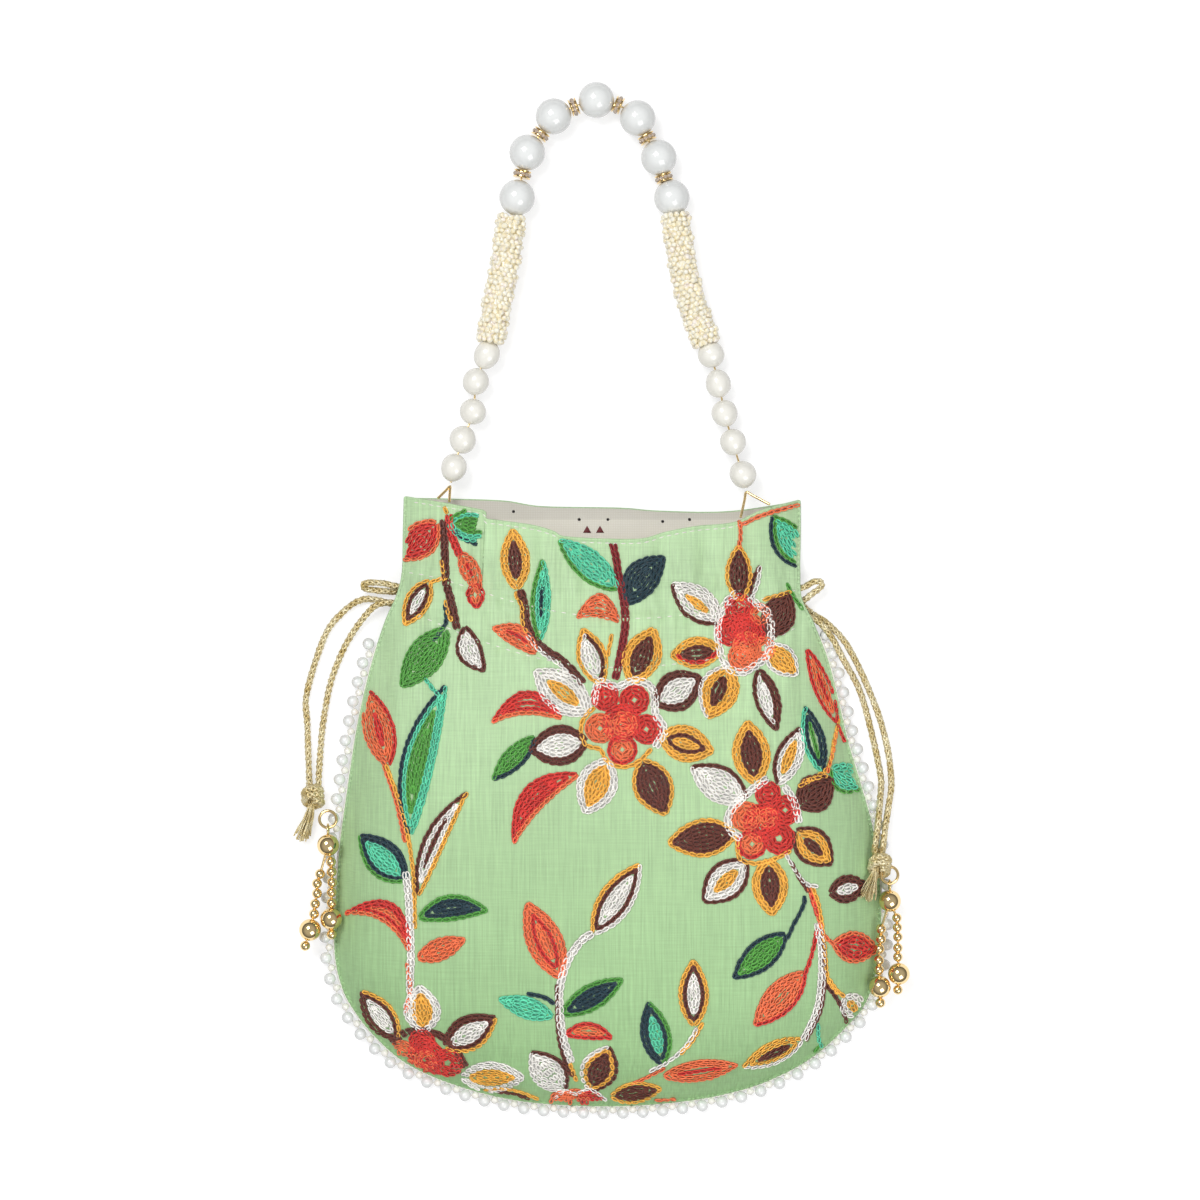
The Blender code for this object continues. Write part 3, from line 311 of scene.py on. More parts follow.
# %% Cords, knots and frayed tails
cord_pieces = {}
for side, route in CORD_ROUTES.items():
    path = smooth_path(np.array(route) * MM, 1.0 * MM)
    knot_middle = np.array(KNOTS[side]) * MM
    ends = [np.mean([path[0], path[-1]], axis=0), np.array(TAIL_ROOTS[side]) * MM]
    way = (ends[1] - ends[0]) / np.linalg.norm(ends[1] - ends[0])
    one, other = frames_along(np.array([knot_middle - way, knot_middle, knot_middle + way]))
    turns = np.linspace(0, 1, 60)[:, None]
    wrap = knot_middle + way * (turns - 0.5) * 6.0 * MM + 3.3 * MM * (
        np.cos(2.6 * 2 * math.pi * turns) * one[1] + np.sin(2.6 * 2 * math.pi * turns) * other[1])
    tilt = 1.7 * MM * np.sin(2.6 * 2 * math.pi * turns + 0.8) * way
    knot_shape = bmesh.new()
    for line in [wrap + tilt] + [np.linspace(end, knot_middle + way * MM, 8) for end in (path[0], path[-1])]:
        line[:, 2] = np.maximum(line[:, 2], 2.3 * MM)
        knot_shape.from_mesh(braid(line, 1.65 * MM, 3, 6 * MM))
    knot = add_piece(f"cord_knot_{side}", mesh_from(knot_shape), gold_yarn,
                     f"drawcord_{side}", [f"knot_{side}"])
    root, end = np.array(TAIL_ROOTS[side]) * MM, np.array(TAIL_ENDS[side]) * MM
    ends_out = frames_along(np.array([root, (root + end) / 2, end]))
    hairs = []
    for k in range(44):
        start, stop = rng.uniform(-1, 1, 2), rng.uniform(-1, 1, 2)
        share = np.linspace(0, rng.uniform(0.85, 1.1), 7)[:, None]
        loose = (1 - share) * start * 1.0 * MM + share * stop * 3.0 * MM
        wave = 0.3 * MM * np.sin(share * 9 + k)
        hairs.append(root - way * 3 * MM * (1 - share) + (end - root) * share
                     + (loose[:, :1] + wave) * ends_out[0][1] + loose[:, 1:] * ends_out[1][1])
    tail = add_piece(f"frayed_tail_{side}", wire(hairs, 0.26 * MM, 0), gold_yarn,
                     f"drawcord_{side}", ())
    cord = add_piece(f"braided_cord_{side}", braid(path, CORD_RADIUS), gold_yarn, f"drawcord_{side}",
                     [f"drawcord_{side}"])
    cord_pieces[side] = (cord, path, knot, tail)

# %% [markdown]
# ## The pouch's form
#
# The pouch is two silk panels sewn together along a rounded seam. The front stands up over the flat
# back because the pouch is soft and a little full. The same few numbers as in the solids give its
# height: how far it rises over the seam at each level, the arch over the cords where they leave the
# casing, and soft upright gathers in the neck. The cloth adds finer folds on top.

# %% Seam, mouth edges and heights
RIM_TOP = 2.3 * MM
MOUTH_RISE = 14 * MM
CASING_RISE = 19 * MM
BODY_RISE = 25 * MM
CROWN_REACH = 17 * MM
CASING_LIFT = 8.5 * MM
CASING_ARCH = 14 * MM
GATHER_PITCH = 17 * MM
GATHER_DEPTH = 0.5 * MM
FRONT_EDGE = [(-81.6, 41.6), (-65.8, 38.8), (-54, 36.6), (-49.4, 35.4), (-49.1, 32.6), (-44, 31.8), (-30.2, 29.8),
              (-22, 27.4), (-18, 25.4), (-3.4, 24.4),
              (13, 24.4), (22.5, 27), (35, 29.4), (50, 31), (61.4, 36), (76.6, 40.2)]
BACK_EDGE = [(-81.6, 41.6), (-61, 41.2), (-41.4, 40.4), (-26.6, 38.2), (4.6, 37.6), (20.6, 36.4),
             (48.2, 36.2), (76.6, 40.2)]
SEAM = [(-81.6, 41.6), (-82.0, 26), (-82.2, 11.2), (-84.2, 2), (-88.6, -7.6), (-92.4, -18), (-96.4, -32),
        (-100.8, -52.4), (-104.6, -77.6), (-107.6, -100), (-109.2, -124), (-109.4, -142),
        (-106.6, -155), (-102.0, -164), (-93.8, -174.4), (-81, -185.4), (-62.2, -193.8),
        (-39.4, -199.8), (-16, -202.2), (8, -202.4), (30, -200.6), (48, -197.4), (64, -192.4),
        (81, -183.4), (95, -171), (103.2, -160.6), (107.6, -146), (109, -130), (108.4, -112),
        (105.8, -92), (100.6, -73), (95.8, -57), (91.8, -40), (87.6, -23.6), (81.6, -9), (76.6, 1),
        (76.2, 12), (76.6, 26), (76.6, 40.2)]
seam = smooth_path(np.array(SEAM) * MM, 1 * MM)
front_edge = smooth_path(np.array(FRONT_EDGE) * MM, 1 * MM)
back_edge = smooth_path(np.array(BACK_EDGE) * MM, 1 * MM)


def ease(value, low, high):
    """0 below low, 1 above high, smooth between."""
    share = np.clip((value - low) / (high - low), 0, 1)
    return share * share * (3 - 2 * share)


def distance_to(line, x, y):
    """Each place's distance from the nearest point of a line."""
    found = np.full(np.shape(x), 1.0)
    for px, py in line:
        found = np.minimum(found, np.hypot(x - px, y - py))
    return found


def plain_height(x, y):
    """Height of the front's outer face, as in the solids."""
    near = 1 - np.exp(-distance_to(seam[::2], x, y) / CROWN_REACH)
    neck = MOUTH_RISE + (CASING_RISE - MOUTH_RISE) * ease(-y, -30 * MM, 0)
    rise = neck + (BODY_RISE - CASING_RISE) * ease(-y, 15 * MM, 80 * MM)
    lift = CASING_LIFT * np.exp(-((y / CASING_ARCH) ** 2)) * (1 - 0.85 * near)
    strength = ease(-y, -34 * MM, -8 * MM) * (1 - ease(-y, 12 * MM, 70 * MM))
    fold = GATHER_DEPTH * strength * np.cos(2 * math.pi * x / GATHER_PITCH + 1.1 * np.sin(y / (22 * MM)))
    return RIM_TOP + lift + rise * near + fold * near


# %% [markdown]
# ### Fine folds
#
# On the photo the neck has soft upright pleats of uneven width, two shallow creases run across the
# casing where the cords lie, and a pleat near the left end of the mouth steps down. A sum of a few
# waves and steps makes them, so that no simulation is needed and each run gives the same cloth.

# %% Cloth height with its folds
CASING_ROWS = [[(396, 570), (405, 572), (445, 580), (535, 607), (620, 618), (700, 612), (796, 590), (806, 588)],
               [(396, 612), (416, 614), (480, 640), (560, 662), (645, 666), (745, 651), (806, 622)]]
casing_lines = [smooth_path(np.array([spot(*p) for p in row]), 1 * MM)[4:-4] for row in CASING_ROWS]


def cloth_height(x, y):
    """The silk's outer face, with pleats, sewn casing rows and the step at the left of the mouth."""
    near = 1 - np.exp(-distance_to(seam[::3], x, y) / (9 * MM))
    neck = ease(-y, -40 * MM, -16 * MM) * (1 - ease(-y, 15 * MM, 75 * MM))
    pleats = 0.42 * np.sin(x / (2.5 * MM) + 2.0 * np.sin(y / (19 * MM)) + 0.8 * np.sin(x / (11 * MM)))
    pleats = pleats + 0.30 * np.sin(x / (1.27 * MM) + 1.3 * np.sin(y / (13 * MM) + x / (20 * MM)))
    height = plain_height(x, y) + pleats * MM * neck * near
    for line, deep in zip(casing_lines, (0.8, 0.7)):
        off = y - np.interp(x, line[:, 0], line[:, 1])
        pucker = 0.38 * np.sin(x / (0.95 * MM) + 0.7 * np.sin(x / (6 * MM))) * np.exp(-((off / (4.5 * MM)) ** 2))
        height = height + MM * near * (pucker - deep * np.exp(-((off / (1.5 * MM)) ** 2)))
    for at, high in ((3.4, 0.5), (-3.5, 0.5)):
        cord = np.exp(-(((y - (at + 0.8 * np.sin(x / (16 * MM))) * MM) / (1.7 * MM)) ** 2))
        height = height + high * MM * near * cord
    pleat_x = spot(481, 0)[0] + 0.03 * (y - 10 * MM)
    step = 1.1 * MM * ease(pleat_x - x, -0.35 * MM, 0.35 * MM) * np.exp(-np.clip(pleat_x - x, 0, 1) / (9 * MM))
    height = height + step * ease(y, -6 * MM, 12 * MM)
    slack = 0.5 * np.sin(x / (21 * MM) + 1.7) * np.sin(y / (33 * MM) + 0.4) + 0.3 * np.sin((x + y) / (13 * MM))
    return height + slack * 0.8 * MM * near * ease(-y, 20 * MM, 70 * MM)


# %% [markdown]
# ### A grid that follows the outline
#
# A square grid is laid over the panel so that its four sides fall on the left seam, the bottom, the
# right seam and the mouth. Each inner point is mixed from the four sides. Its rows then run with the
# outline everywhere, and the weave and the folds have even faces to bend.

# %% Panel grid
def four_sides(mouth):
    """Left side, bottom, right side and mouth of a panel, split at the seam's lower corners."""
    left = int(np.argmin(np.hypot(seam[:, 0] + 101 * MM, seam[:, 1] + 166 * MM)))
    right = int(np.argmin(np.hypot(seam[:, 0] - 102 * MM, seam[:, 1] + 163 * MM)))
    return seam[:left + 1][::-1], seam[left:right + 1], seam[right:], mouth


def read_at(line, shares):
    """Points at these shares of a line's length."""
    along = np.concatenate([[0], np.cumsum(np.hypot(*np.diff(line, axis=0).T))])
    return np.stack([np.interp(shares * along[-1], along, line[:, k]) for k in (0, 1)], axis=-1)


def panel_grid(mouth, columns, rows):
    """A bmesh grid whose points are moved onto the panel."""
    shape = bmesh.new()
    bmesh.ops.create_grid(shape, x_segments=columns, y_segments=rows, size=0.5)
    co = np.array([v.co for v in shape.verts]) + 0.5
    u, v = co[:, :1], co[:, 1:2]
    left, bottom, right, top = [read_at(line, share) for line, share in zip(
        four_sides(mouth), (co[:, 1], co[:, 0], co[:, 1], co[:, 0]))]
    corners = [four_sides(mouth)[1][0], four_sides(mouth)[1][-1], mouth[0], mouth[-1]]
    flat = (1 - u) * left + u * right + (1 - v) * bottom + v * top - (
        (1 - u) * (1 - v) * corners[0] + u * (1 - v) * corners[1] + (1 - u) * v * corners[2] + u * v * corners[3])
    for vert, place in zip(shape.verts, flat):
        vert.co = (*place, 0)
    return shape, flat


# %% [markdown]
# ### The silk's finish
#
# The cloth is dupion: a crisp plain weave with thicker yarns, called slubs, that show as long fine
# streaks up and down the bag. Stretched noise makes the streaks, a finer one across makes the weft,
# and a broad one makes the dye a little uneven. The lower half is painted a shade darker: painted
# shade where the cloth curves away from the light. A little sheen gives silk its soft edge light.

# %% Slub silk
def silk_finish(name, shaded_low_colour, lit_high_colour):
    material, tree, shader, place = finish_of(name, 0.58, Sheen_Weight=0.18, Sheen_Roughness=0.35)
    drawn = node(tree, "Mapping", {"Vector": place, "Scale": (1500, 42, 300)})
    slubs = node(tree, "TexNoise", {"Vector": drawn.outputs[0], "Scale": 1.0, "Detail": 3.0, "Roughness": 0.6})
    drawn = node(tree, "Mapping", {"Vector": place, "Scale": (60, 1700, 300)})
    weft = node(tree, "TexNoise", {"Vector": drawn.outputs[0], "Scale": 1.0, "Detail": 2.0})
    dye = node(tree, "TexNoise", {"Vector": place, "Scale": 22.0, "Detail": 2.0})
    level = node(tree, "SeparateXYZ", {0: place})
    # Painted shade: the lower half of the silk is mixed towards the darker colour, where the cloth curves away from
    # the light.
    tone = node(tree, "MapRange", {0: level.outputs[1], 1: -0.19, 2: -0.02})
    shade = node(tree, "Mix", {0: tone.outputs[0], 6: linear(shaded_low_colour), 7: linear(lit_high_colour)},
                 data_type="RGBA")
    streak = node(tree, "MapRange", {0: slubs.outputs[0], 1: 0.3, 2: 0.72, 3: 0.86, 4: 1.10})
    across = node(tree, "MapRange", {0: weft.outputs[0], 1: 0.3, 2: 0.7, 3: 0.95, 4: 1.04})
    uneven = node(tree, "MapRange", {0: dye.outputs[0], 1: 0.3, 2: 0.7, 3: 0.96, 4: 1.03})
    both = node(tree, "Math", {0: streak.outputs[0], 1: across.outputs[0]}, operation="MULTIPLY")
    total = node(tree, "Math", {0: both.outputs[0], 1: uneven.outputs[0]}, operation="MULTIPLY")
    colour = node(tree, "VectorMath", {0: shade.outputs[2], "Scale": total.outputs[0]}, operation="SCALE")
    tree.links.new(colour.outputs[0], shader.inputs["Base Color"])
    relief = node(tree, "Math", {0: slubs.outputs[0], 1: weft.outputs[0]}, operation="ADD")
    bump = node(tree, "Bump", {"Height": relief.outputs[0], "Distance": 0.22 * MM, "Strength": 0.55})
    tree.links.new(bump.outputs[0], shader.inputs["Normal"])
    return material


# The first colour is the silk painted in shade for the lower half, the second the lit upper half.
green_silk = silk_finish("green_slub_silk", "9CC58A", "BFDFAE")

# %% Front panel
CLOTH = 0.8 * MM


def solid_cloth(shape, thickness):
    """Gives a sheet its thickness on its under side and rounds nothing else."""
    bmesh.ops.recalc_face_normals(shape, faces=shape.faces[:])
    if sum(face.normal.z for face in shape.faces) < 0:
        bmesh.ops.reverse_faces(shape, faces=shape.faces[:])
    made = bmesh.ops.extrude_face_region(shape, geom=shape.faces[:], use_keep_orig=True)
    for vert in made["geom"]:
        if isinstance(vert, bmesh.types.BMVert):
            vert.co.z -= thickness
    bmesh.ops.recalc_face_normals(shape, faces=shape.faces[:])


shape, flat = panel_grid(front_edge, 170, 190)
heights = cloth_height(flat[:, 0], flat[:, 1])
for vert, height in zip(shape.verts, heights):
    vert.co.z = height
solid_cloth(shape, CLOTH)
front_silk = add_piece("front_silk", mesh_from(shape), green_silk, "bag", ["front_panel"])

# %% Back panel
shape, flat = panel_grid(back_edge, 60, 66)
for vert, (x, y) in zip(shape.verts, flat):
    vert.co.z = 0.95 * MM
solid_cloth(shape, 0.9 * MM)
back_silk = add_piece("back_silk", mesh_from(shape), green_silk, "bag", ["back_panel"])

# %% [markdown]
# ## Lining
#
# The lining is an open bag of pale grey printed cotton inside the silk. It is one grid rolled into a
# ring: its left and right edges meet at one side seam. The mouth's two sides end at different
# levels, so the printed inside of the back shows over the front edge.

# %% Lining shape
LINING_ROWS = np.concatenate([[-193, -190, -185, -178], np.linspace(-166, 15, 44), [18, 22]]) * MM
LINING_THICKNESS = 0.8 * MM


def lining_place(side, share, y, mouth):
    """A place on the lining's outer skin: side is front or back, share runs from left to right."""
    middle = len(seam) // 2
    channel = 1 - ease(abs(y), 9 * MM, 15 * MM)
    inset = 8 * MM + 10 * MM * channel
    left = np.interp(y, seam[:middle, 1][::-1], seam[:middle, 0][::-1]) + inset
    right = np.interp(y, seam[middle:, 1], seam[middle:, 0]) - inset
    x = left + (right - left) * (1 - math.cos(math.pi * share)) / 2
    if mouth:
        edge = front_edge if side == "front" else back_edge
        y = float(np.interp(x, edge[:, 0], edge[:, 1])) - 0.5 * MM
    low = 1.3 * MM + 3.3 * MM * channel
    if side == "back":
        return x, y, low + 0.15 * MM * math.sin(x / (6 * MM)) * (1 - channel)
    high = float(plain_height(np.array(x), np.array(y))) - 3.3 * MM - 5.4 * MM * channel
    return x, y, max(high, low + 2.4 * MM)


columns = 40
n_around = 2 * columns + 2
shape = bmesh.new()
bmesh.ops.create_grid(shape, x_segments=n_around, y_segments=len(LINING_ROWS), size=0.5)
for vert in shape.verts:
    k = round((vert.co.x + 0.5) * n_around) % n_around
    row = round((vert.co.y + 0.5) * len(LINING_ROWS))
    mouth = row == len(LINING_ROWS)
    y = 30 * MM if mouth else LINING_ROWS[row]
    if k <= columns:
        vert.co = lining_place("front", k / columns, y, mouth)
    else:
        vert.co = lining_place("back", (2 * columns + 1 - k) / columns, y, mouth)
bmesh.ops.remove_doubles(shape, verts=shape.verts[:], dist=1e-6)
bottom = [edge for edge in shape.edges if edge.is_boundary and edge.verts[0].co.y < LINING_ROWS[1]]
bmesh.ops.edgeloop_fill(shape, edges=bottom)
bmesh.ops.recalc_face_normals(shape, faces=shape.faces[:])
bmesh.ops.solidify(shape, geom=shape.faces[:], thickness=LINING_THICKNESS)

# %% [markdown]
# ### Printed cotton
#
# The lining is a fine plain weave, much duller than the silk. The weave is drawn at 0.7 mm, coarser
# than the real thread, so that it still shows. Along the back of the mouth the cotton is painted a
# shade darker above a fold line and a little lighter below it: painted shade and light at the fold.
# The small print is given as thin specks on the cloth.


# %% Cotton finish and its print
# The line where the painted shade of the fold starts on the back of the lining.
SHADE_FOLD_EDGE = spot(0, 519)[1]
SHADE_FOLD_BLEND = 0.2 * MM


def cotton_finish():
    material, tree, shader, place = finish_of("grey_lining_cotton", 0.85)
    warp = node(tree, "TexWave", {"Vector": place, "Scale": 450.0, "Distortion": 1.2}, bands_direction="X")
    weft = node(tree, "TexWave", {"Vector": place, "Scale": 450.0, "Distortion": 1.2}, bands_direction="Y")
    weave = node(tree, "Math", {0: warp.outputs[1], 1: weft.outputs[1]}, operation="MULTIPLY")
    colour = node(tree, "Mix", {0: weave.outputs[0], 6: linear("E2DDD0"), 7: linear("F0EDE4")}, data_type="RGBA")
    level = node(tree, "SeparateXYZ", {0: place})
    # Painted shade and light: darker above the fold line, a little lighter below it.
    painted_fold_shade = node(tree, "MapRange", {0: level.outputs[1], 1: SHADE_FOLD_EDGE - SHADE_FOLD_BLEND,
                                     2: SHADE_FOLD_EDGE + SHADE_FOLD_BLEND, 3: 1.07, 4: 0.95})
    toned = node(tree, "VectorMath", {0: colour.outputs[2], "Scale": painted_fold_shade.outputs[0]}, operation="SCALE")
    tree.links.new(toned.outputs[0], shader.inputs["Base Color"])
    bump = node(tree, "Bump", {"Height": weave.outputs[0], "Distance": 0.1 * MM, "Strength": 0.4})
    tree.links.new(bump.outputs[0], shader.inputs["Normal"])
    return material


def plain_finish(name, colour, roughness, grain=900.0, depth=0.05 * MM, spread=0.12, **sockets):
    """A finish of one colour with a fine mottle and the same grain as relief."""
    material, tree, shader, place = finish_of(name, roughness, **sockets)
    mottle = node(tree, "TexNoise", {"Vector": place, "Scale": grain, "Detail": 2.0})
    amount = node(tree, "MapRange", {0: mottle.outputs[0], 1: 0.3, 2: 0.7, 3: 1 - spread, 4: 1 + spread / 2})
    toned = node(tree, "VectorMath", {0: linear(colour)[:3], "Scale": amount.outputs[0]}, operation="SCALE")
    tree.links.new(toned.outputs[0], shader.inputs["Base Color"])
    bump = node(tree, "Bump", {"Height": mottle.outputs[0], "Distance": depth, "Strength": 0.5})
    tree.links.new(bump.outputs[0], shader.inputs["Normal"])
    return material


cotton_lining = add_piece("cotton_lining", mesh_from(shape), cotton_finish(), "bag", ["lining"])


def speck(sides):
    """A thin flat speck, one unit in radius."""
    flat_shape = bmesh.new()
    bmesh.ops.create_cone(flat_shape, cap_ends=True, segments=sides, radius1=1, radius2=1, depth=0.1)
    return mesh_from(flat_shape)


DOTS = """500,503 526,505 544,508 565,508 622,508 650,509 678,510 704,508 720,506 534,518 554,521
579,519 608,519 636,519 663,521 729,518 513,511 590,510 690,519"""
TRIANGLES = "587,530 600,530"


def on_lining(text, size):
    """Matrices for specks on the lining's printed face, at these photo places."""
    made = []
    for pair in text.split():
        x, y = spot(*map(float, pair.split(",")))
        if y > np.interp(x, back_edge[:, 0], back_edge[:, 1]) - 1.8 * MM:
            continue
        z = lining_place("back", 0.5, y, False)[2] + LINING_THICKNESS + 0.04 * MM
        made.append(aimed((x, y, z), (0, 0, 1), (size, size, 1 * MM)))
    return made


add_piece("lining_dots", copies(speck(8), on_lining(DOTS, 0.62 * MM)), plain_finish("black_print", "2E2A2A", 0.8),
          "bag", ())
add_piece("lining_triangles", copies(speck(3), on_lining(TRIANGLES, 1.9 * MM)),
          plain_finish("maroon_print", "7A3B40", 0.8), "bag", ())

# %% [markdown]
# ## Seam, piping and hem
#
# The panels meet in a rolled seam, and a fine white cord is sewn along it as far as the pearls go.
# Both are round and follow the seam's own height, so they rise over the two gaps where the
# drawcords come out. The mouth is a folded hem with a row of white stitches.

# %% Rolled seam, white piping and hem
seam_line = np.c_[seam, plain_height(seam[:, 0], seam[:, 1]) - 0.75 * MM]
add_piece("rolled_seam", wire([seam_line], 0.8 * MM, 2), green_silk, "bag", ())
along = np.gradient(seam, axis=0)
outward = np.c_[along[:, 1], -along[:, 0], 0 * along[:, 0]] / np.linalg.norm(along, axis=1)[:, None]
low = np.argmin(seam[:, 1])
edged = np.arange(int(np.argmin(np.abs(seam[:low, 1] + 18 * MM))),
                  low + int(np.argmin(np.abs(seam[low:, 1] + 14 * MM))))
white_cotton = plain_finish("white_cotton_thread", "F4F1EA", 0.75, 1500.0)
add_piece("seam_piping", wire([(seam_line + 0.9 * MM * outward)[edged]], 0.45 * MM, 1), white_cotton, "bag")
hem_height = cloth_height(front_edge[:, 0], front_edge[:, 1])
hem_line = np.c_[front_edge, hem_height - 0.45 * MM]
add_piece("mouth_hem", wire([hem_line], 0.6 * MM, 2), green_silk, "bag", ())


# %% [markdown]
# ### Running stitches
#
# White thread shows in short dashes along the hem and in two rows across the casing, where it holds
# the drawcords' tunnel. One dash is a stretched ball, copied along each row.

# %% Dashes of white thread
def lay_on_cloth(places, ways, lift):
    """Matrices that lay copies on the silk at these places, with their X along the ways."""
    places, ways = np.asarray(places, float), np.asarray(ways, float)
    step = 0.5 * MM
    here = cloth_height(places[:, 0], places[:, 1])
    slope_x = (cloth_height(places[:, 0] + step, places[:, 1]) - here) / step
    slope_y = (cloth_height(places[:, 0], places[:, 1] + step) - here) / step
    up = np.c_[-slope_x, -slope_y, np.ones(len(here))]
    up /= np.linalg.norm(up, axis=1)[:, None]
    ahead = np.c_[ways, ways[:, 0] * slope_x + ways[:, 1] * slope_y]
    ahead /= np.linalg.norm(ahead, axis=1)[:, None]
    made = np.zeros((len(here), 4, 4))
    made[:, :3, 0], made[:, :3, 1], made[:, :3, 2] = ahead, np.cross(up, ahead), up
    made[:, :3, 3] = np.c_[places, here] + lift * up
    made[:, 3, 3] = 1
    return made


def ball(segments, rings, radius):
    sphere = bmesh.new()
    bmesh.ops.create_uvsphere(sphere, u_segments=segments, v_segments=rings, radius=radius)
    return sphere


def dashes(line, pitch):
    """Places and directions of stitches at a pitch along a line."""
    count = max(1, round(np.hypot(*np.diff(line, axis=0).T).sum() / pitch))
    places = read_at(line, (np.arange(count) + 0.5) / count)
    ahead = read_at(line, np.clip((np.arange(count) + 0.7) / count, 0, 1))
    behind = read_at(line, np.clip((np.arange(count) + 0.3) / count, 0, 1))
    return places, (ahead - behind) / np.linalg.norm(ahead - behind, axis=1)[:, None]


dash = ball(6, 5, 1)
bmesh.ops.scale(dash, vec=(1.15 * MM, 0.24 * MM, 0.2 * MM), verts=dash.verts[:])
dash = mesh_from(dash)
hem_inset = front_edge + np.array([0, -1.3 * MM])
rows = [dashes(hem_inset[3:-3], 3.1 * MM)] + [dashes(line, 4.2 * MM) for line in casing_lines]
laid = np.concatenate([lay_on_cloth(*row, 0.1 * MM) for row in rows])
add_piece("running_stitches", copies(dash, laid), white_cotton, "bag")

# %% [markdown]
# ## Embroidery
#
# The flowers are worked in chain stitch, as with the hooked aari needle: every petal, leaf and stem
# is filled with rows of small thread loops, each growing out of the last. So one loop is modelled
# and copied a few thousand times, and a pattern card below says where the rows run.
#
# - A lens line gives the photo places of a petal's base and tip, its width in pixels, its row
#   colours from the rim inwards, and its sideways bend. Two letters colour its left and right side.
# - A disc line gives a centre, a radius and its ring colours.
# - A chain line gives a colour, a number of rows if there are several, and the points they pass.

# %% Pattern card
THREADS = {"R": ("red", "E23A32"), "C": ("coral", "FA7E4E"), "A": ("amber", "FFC04E"), "B": ("brown", "70372A"),
           "W": ("white", "FBF8F2"), "N": ("navy", "20404C"), "T": ("turquoise", "66DDB4"),
           "G": ("green", "5DAC47"), "D": ("wine", "96292C")}
LENSES = """
601 684 583 628 30 A,WB,W,W 0|630 682 654 628 38 A,A,B,B 0|655 703 700 676 40 B,B,W,W 0
659 735 712 750 36 A,A,B,A 0|641 758 665 812 40 A,B,B,B 0|608 757 585 811 40 W,W,A,A 0
588 740 530 748 40 B,B,W 0|590 712 535 670 40 W,W,W,A 0
738 602 738 545 27 A,B,B 0|748 602 760 564 9 BW 0|768 636 788 594 34 B,B,B 0
766 645 796 675 30 W,A,A 0|757 668 775 730 26 B,BW,W 0|728 665 706 717 40 AW,A,A,B 0
720 650 670 655 32 A,RA,B,B 0|720 622 671 584 34 BW,W,W,A 0
753 782 746 720 38 A,A,B,B 0|776 783 799 727 28 BW,W,A 0|797 805 831 778 38 B,B,B 0
793 828 830 862 36 B,A,A,B 0|766 855 770 912 36 A,A,B,B 0|745 858 702 898 38 B,W,W,A 0
735 830 667 840 38 A,B,B,B 0|745 798 690 765 36 WB,W,W 0
398 1040 362 990 34 BA,BB,W,W 0|425 1030 422 982 38 W,W,A,A 0|445 1045 497 1013 36 BA,B,W 0
460 1078 525 1075 36 W,W,A 0|475 1095 545 1105 24 A,B,W 0
565 1090 532 1048 36 WB,W,W 0|590 1090 609 1042 38 WB,A,B 0|610 1097 662 1088 26 A,B 0
390 766 368 690 34 CR,C,C,R 0|412 835 448 683 34 NT,T,G,G .064|408 878 360 835 38 GN,N,T,T 0
420 895 470 789 22 BA,W,B .08|420 915 490 907 26 G,N,N .1|419 955 467 935 22 C,C,C 0
412 950 343 915 22 CR,R,C -.33|438 522 402 560 36 C,R,R,R 0|461 552 481 590 20 C,C,R 0
475 583 478 608 18 R,C 0|431 580 405 625 26 A,B,W 0|448 628 402 687 36 G,G,G,G 0
466 626 486 671 26 B,W,W -.12|518 590 513 529 30 A,A,B,B 0|540 642 543 558 20 GT,T,N 0
537 653 493 628 22 C,C,R -.12|618 590 559 540 30 GT,T,T 0|627 604 664 557 34 N,N,N,N .08
619 622 577 618 24 C,C,C -.35|563 718 493 722 24 CR,R,R -.26|536 735 494 778 22 NG,G,G 0
580 772 515 841 26 CR,R,R -.18|838 725 806 647 20 R,C,R 0|821 772 804 706 24 TN,N,G 0
830 768 862 790 30 TG,T,T 0|806 568 772 516 36 NG,GT,T 0|827 891 866 884 28 B,B,W 0
784 930 732 974 30 N,G,G 0|803 968 753 1022 32 RC,C,C 0|831 941 878 952 32 C,R,R 0
843 995 862 1018 26 W,W,A 0|803 1038 742 1066 26 WA,A,B 0|662 1074 738 1063 24 C,C,R 0
693 1022 692 955 30 A,B,W 0|662 1062 648 997 30 NG,N,T 0|562 974 528 898 36 C,C,R,C 0
593 930 640 860 34 AW,B,W 0|554 1012 500 994 22 T,T,T 0|562 1010 623 974 26 G,N,N 0
565 1030 613 1034 18 R,C,R .12|448 523 498 534 34 GT,T,G .05
"""
DISCS = """
621 722 19 R|742 628 15 R|746 646 15 C|760 820 19 R|426 1055 19 R|575 1103 16 C
605 696 14 R|634 699 15 R|600 727 15 C|624 723 13 C|646 728 15 R|622 748 15 RC|738 607 14 R|730 630 16 R
751 632 14 R|742 656 15 C|759 614 11 C|763 648 12 C|766 792 13 R|744 814 15 C|766 815 10 C|783 808 15 R
750 841 15 RC|777 836 16 R|423 1040 14 R|402 1053 14 C|426 1060 12 C|448 1062 16 R|428 1077 12 R
408 1070 11 C|562 1102 13 C|590 1103 14 R
"""
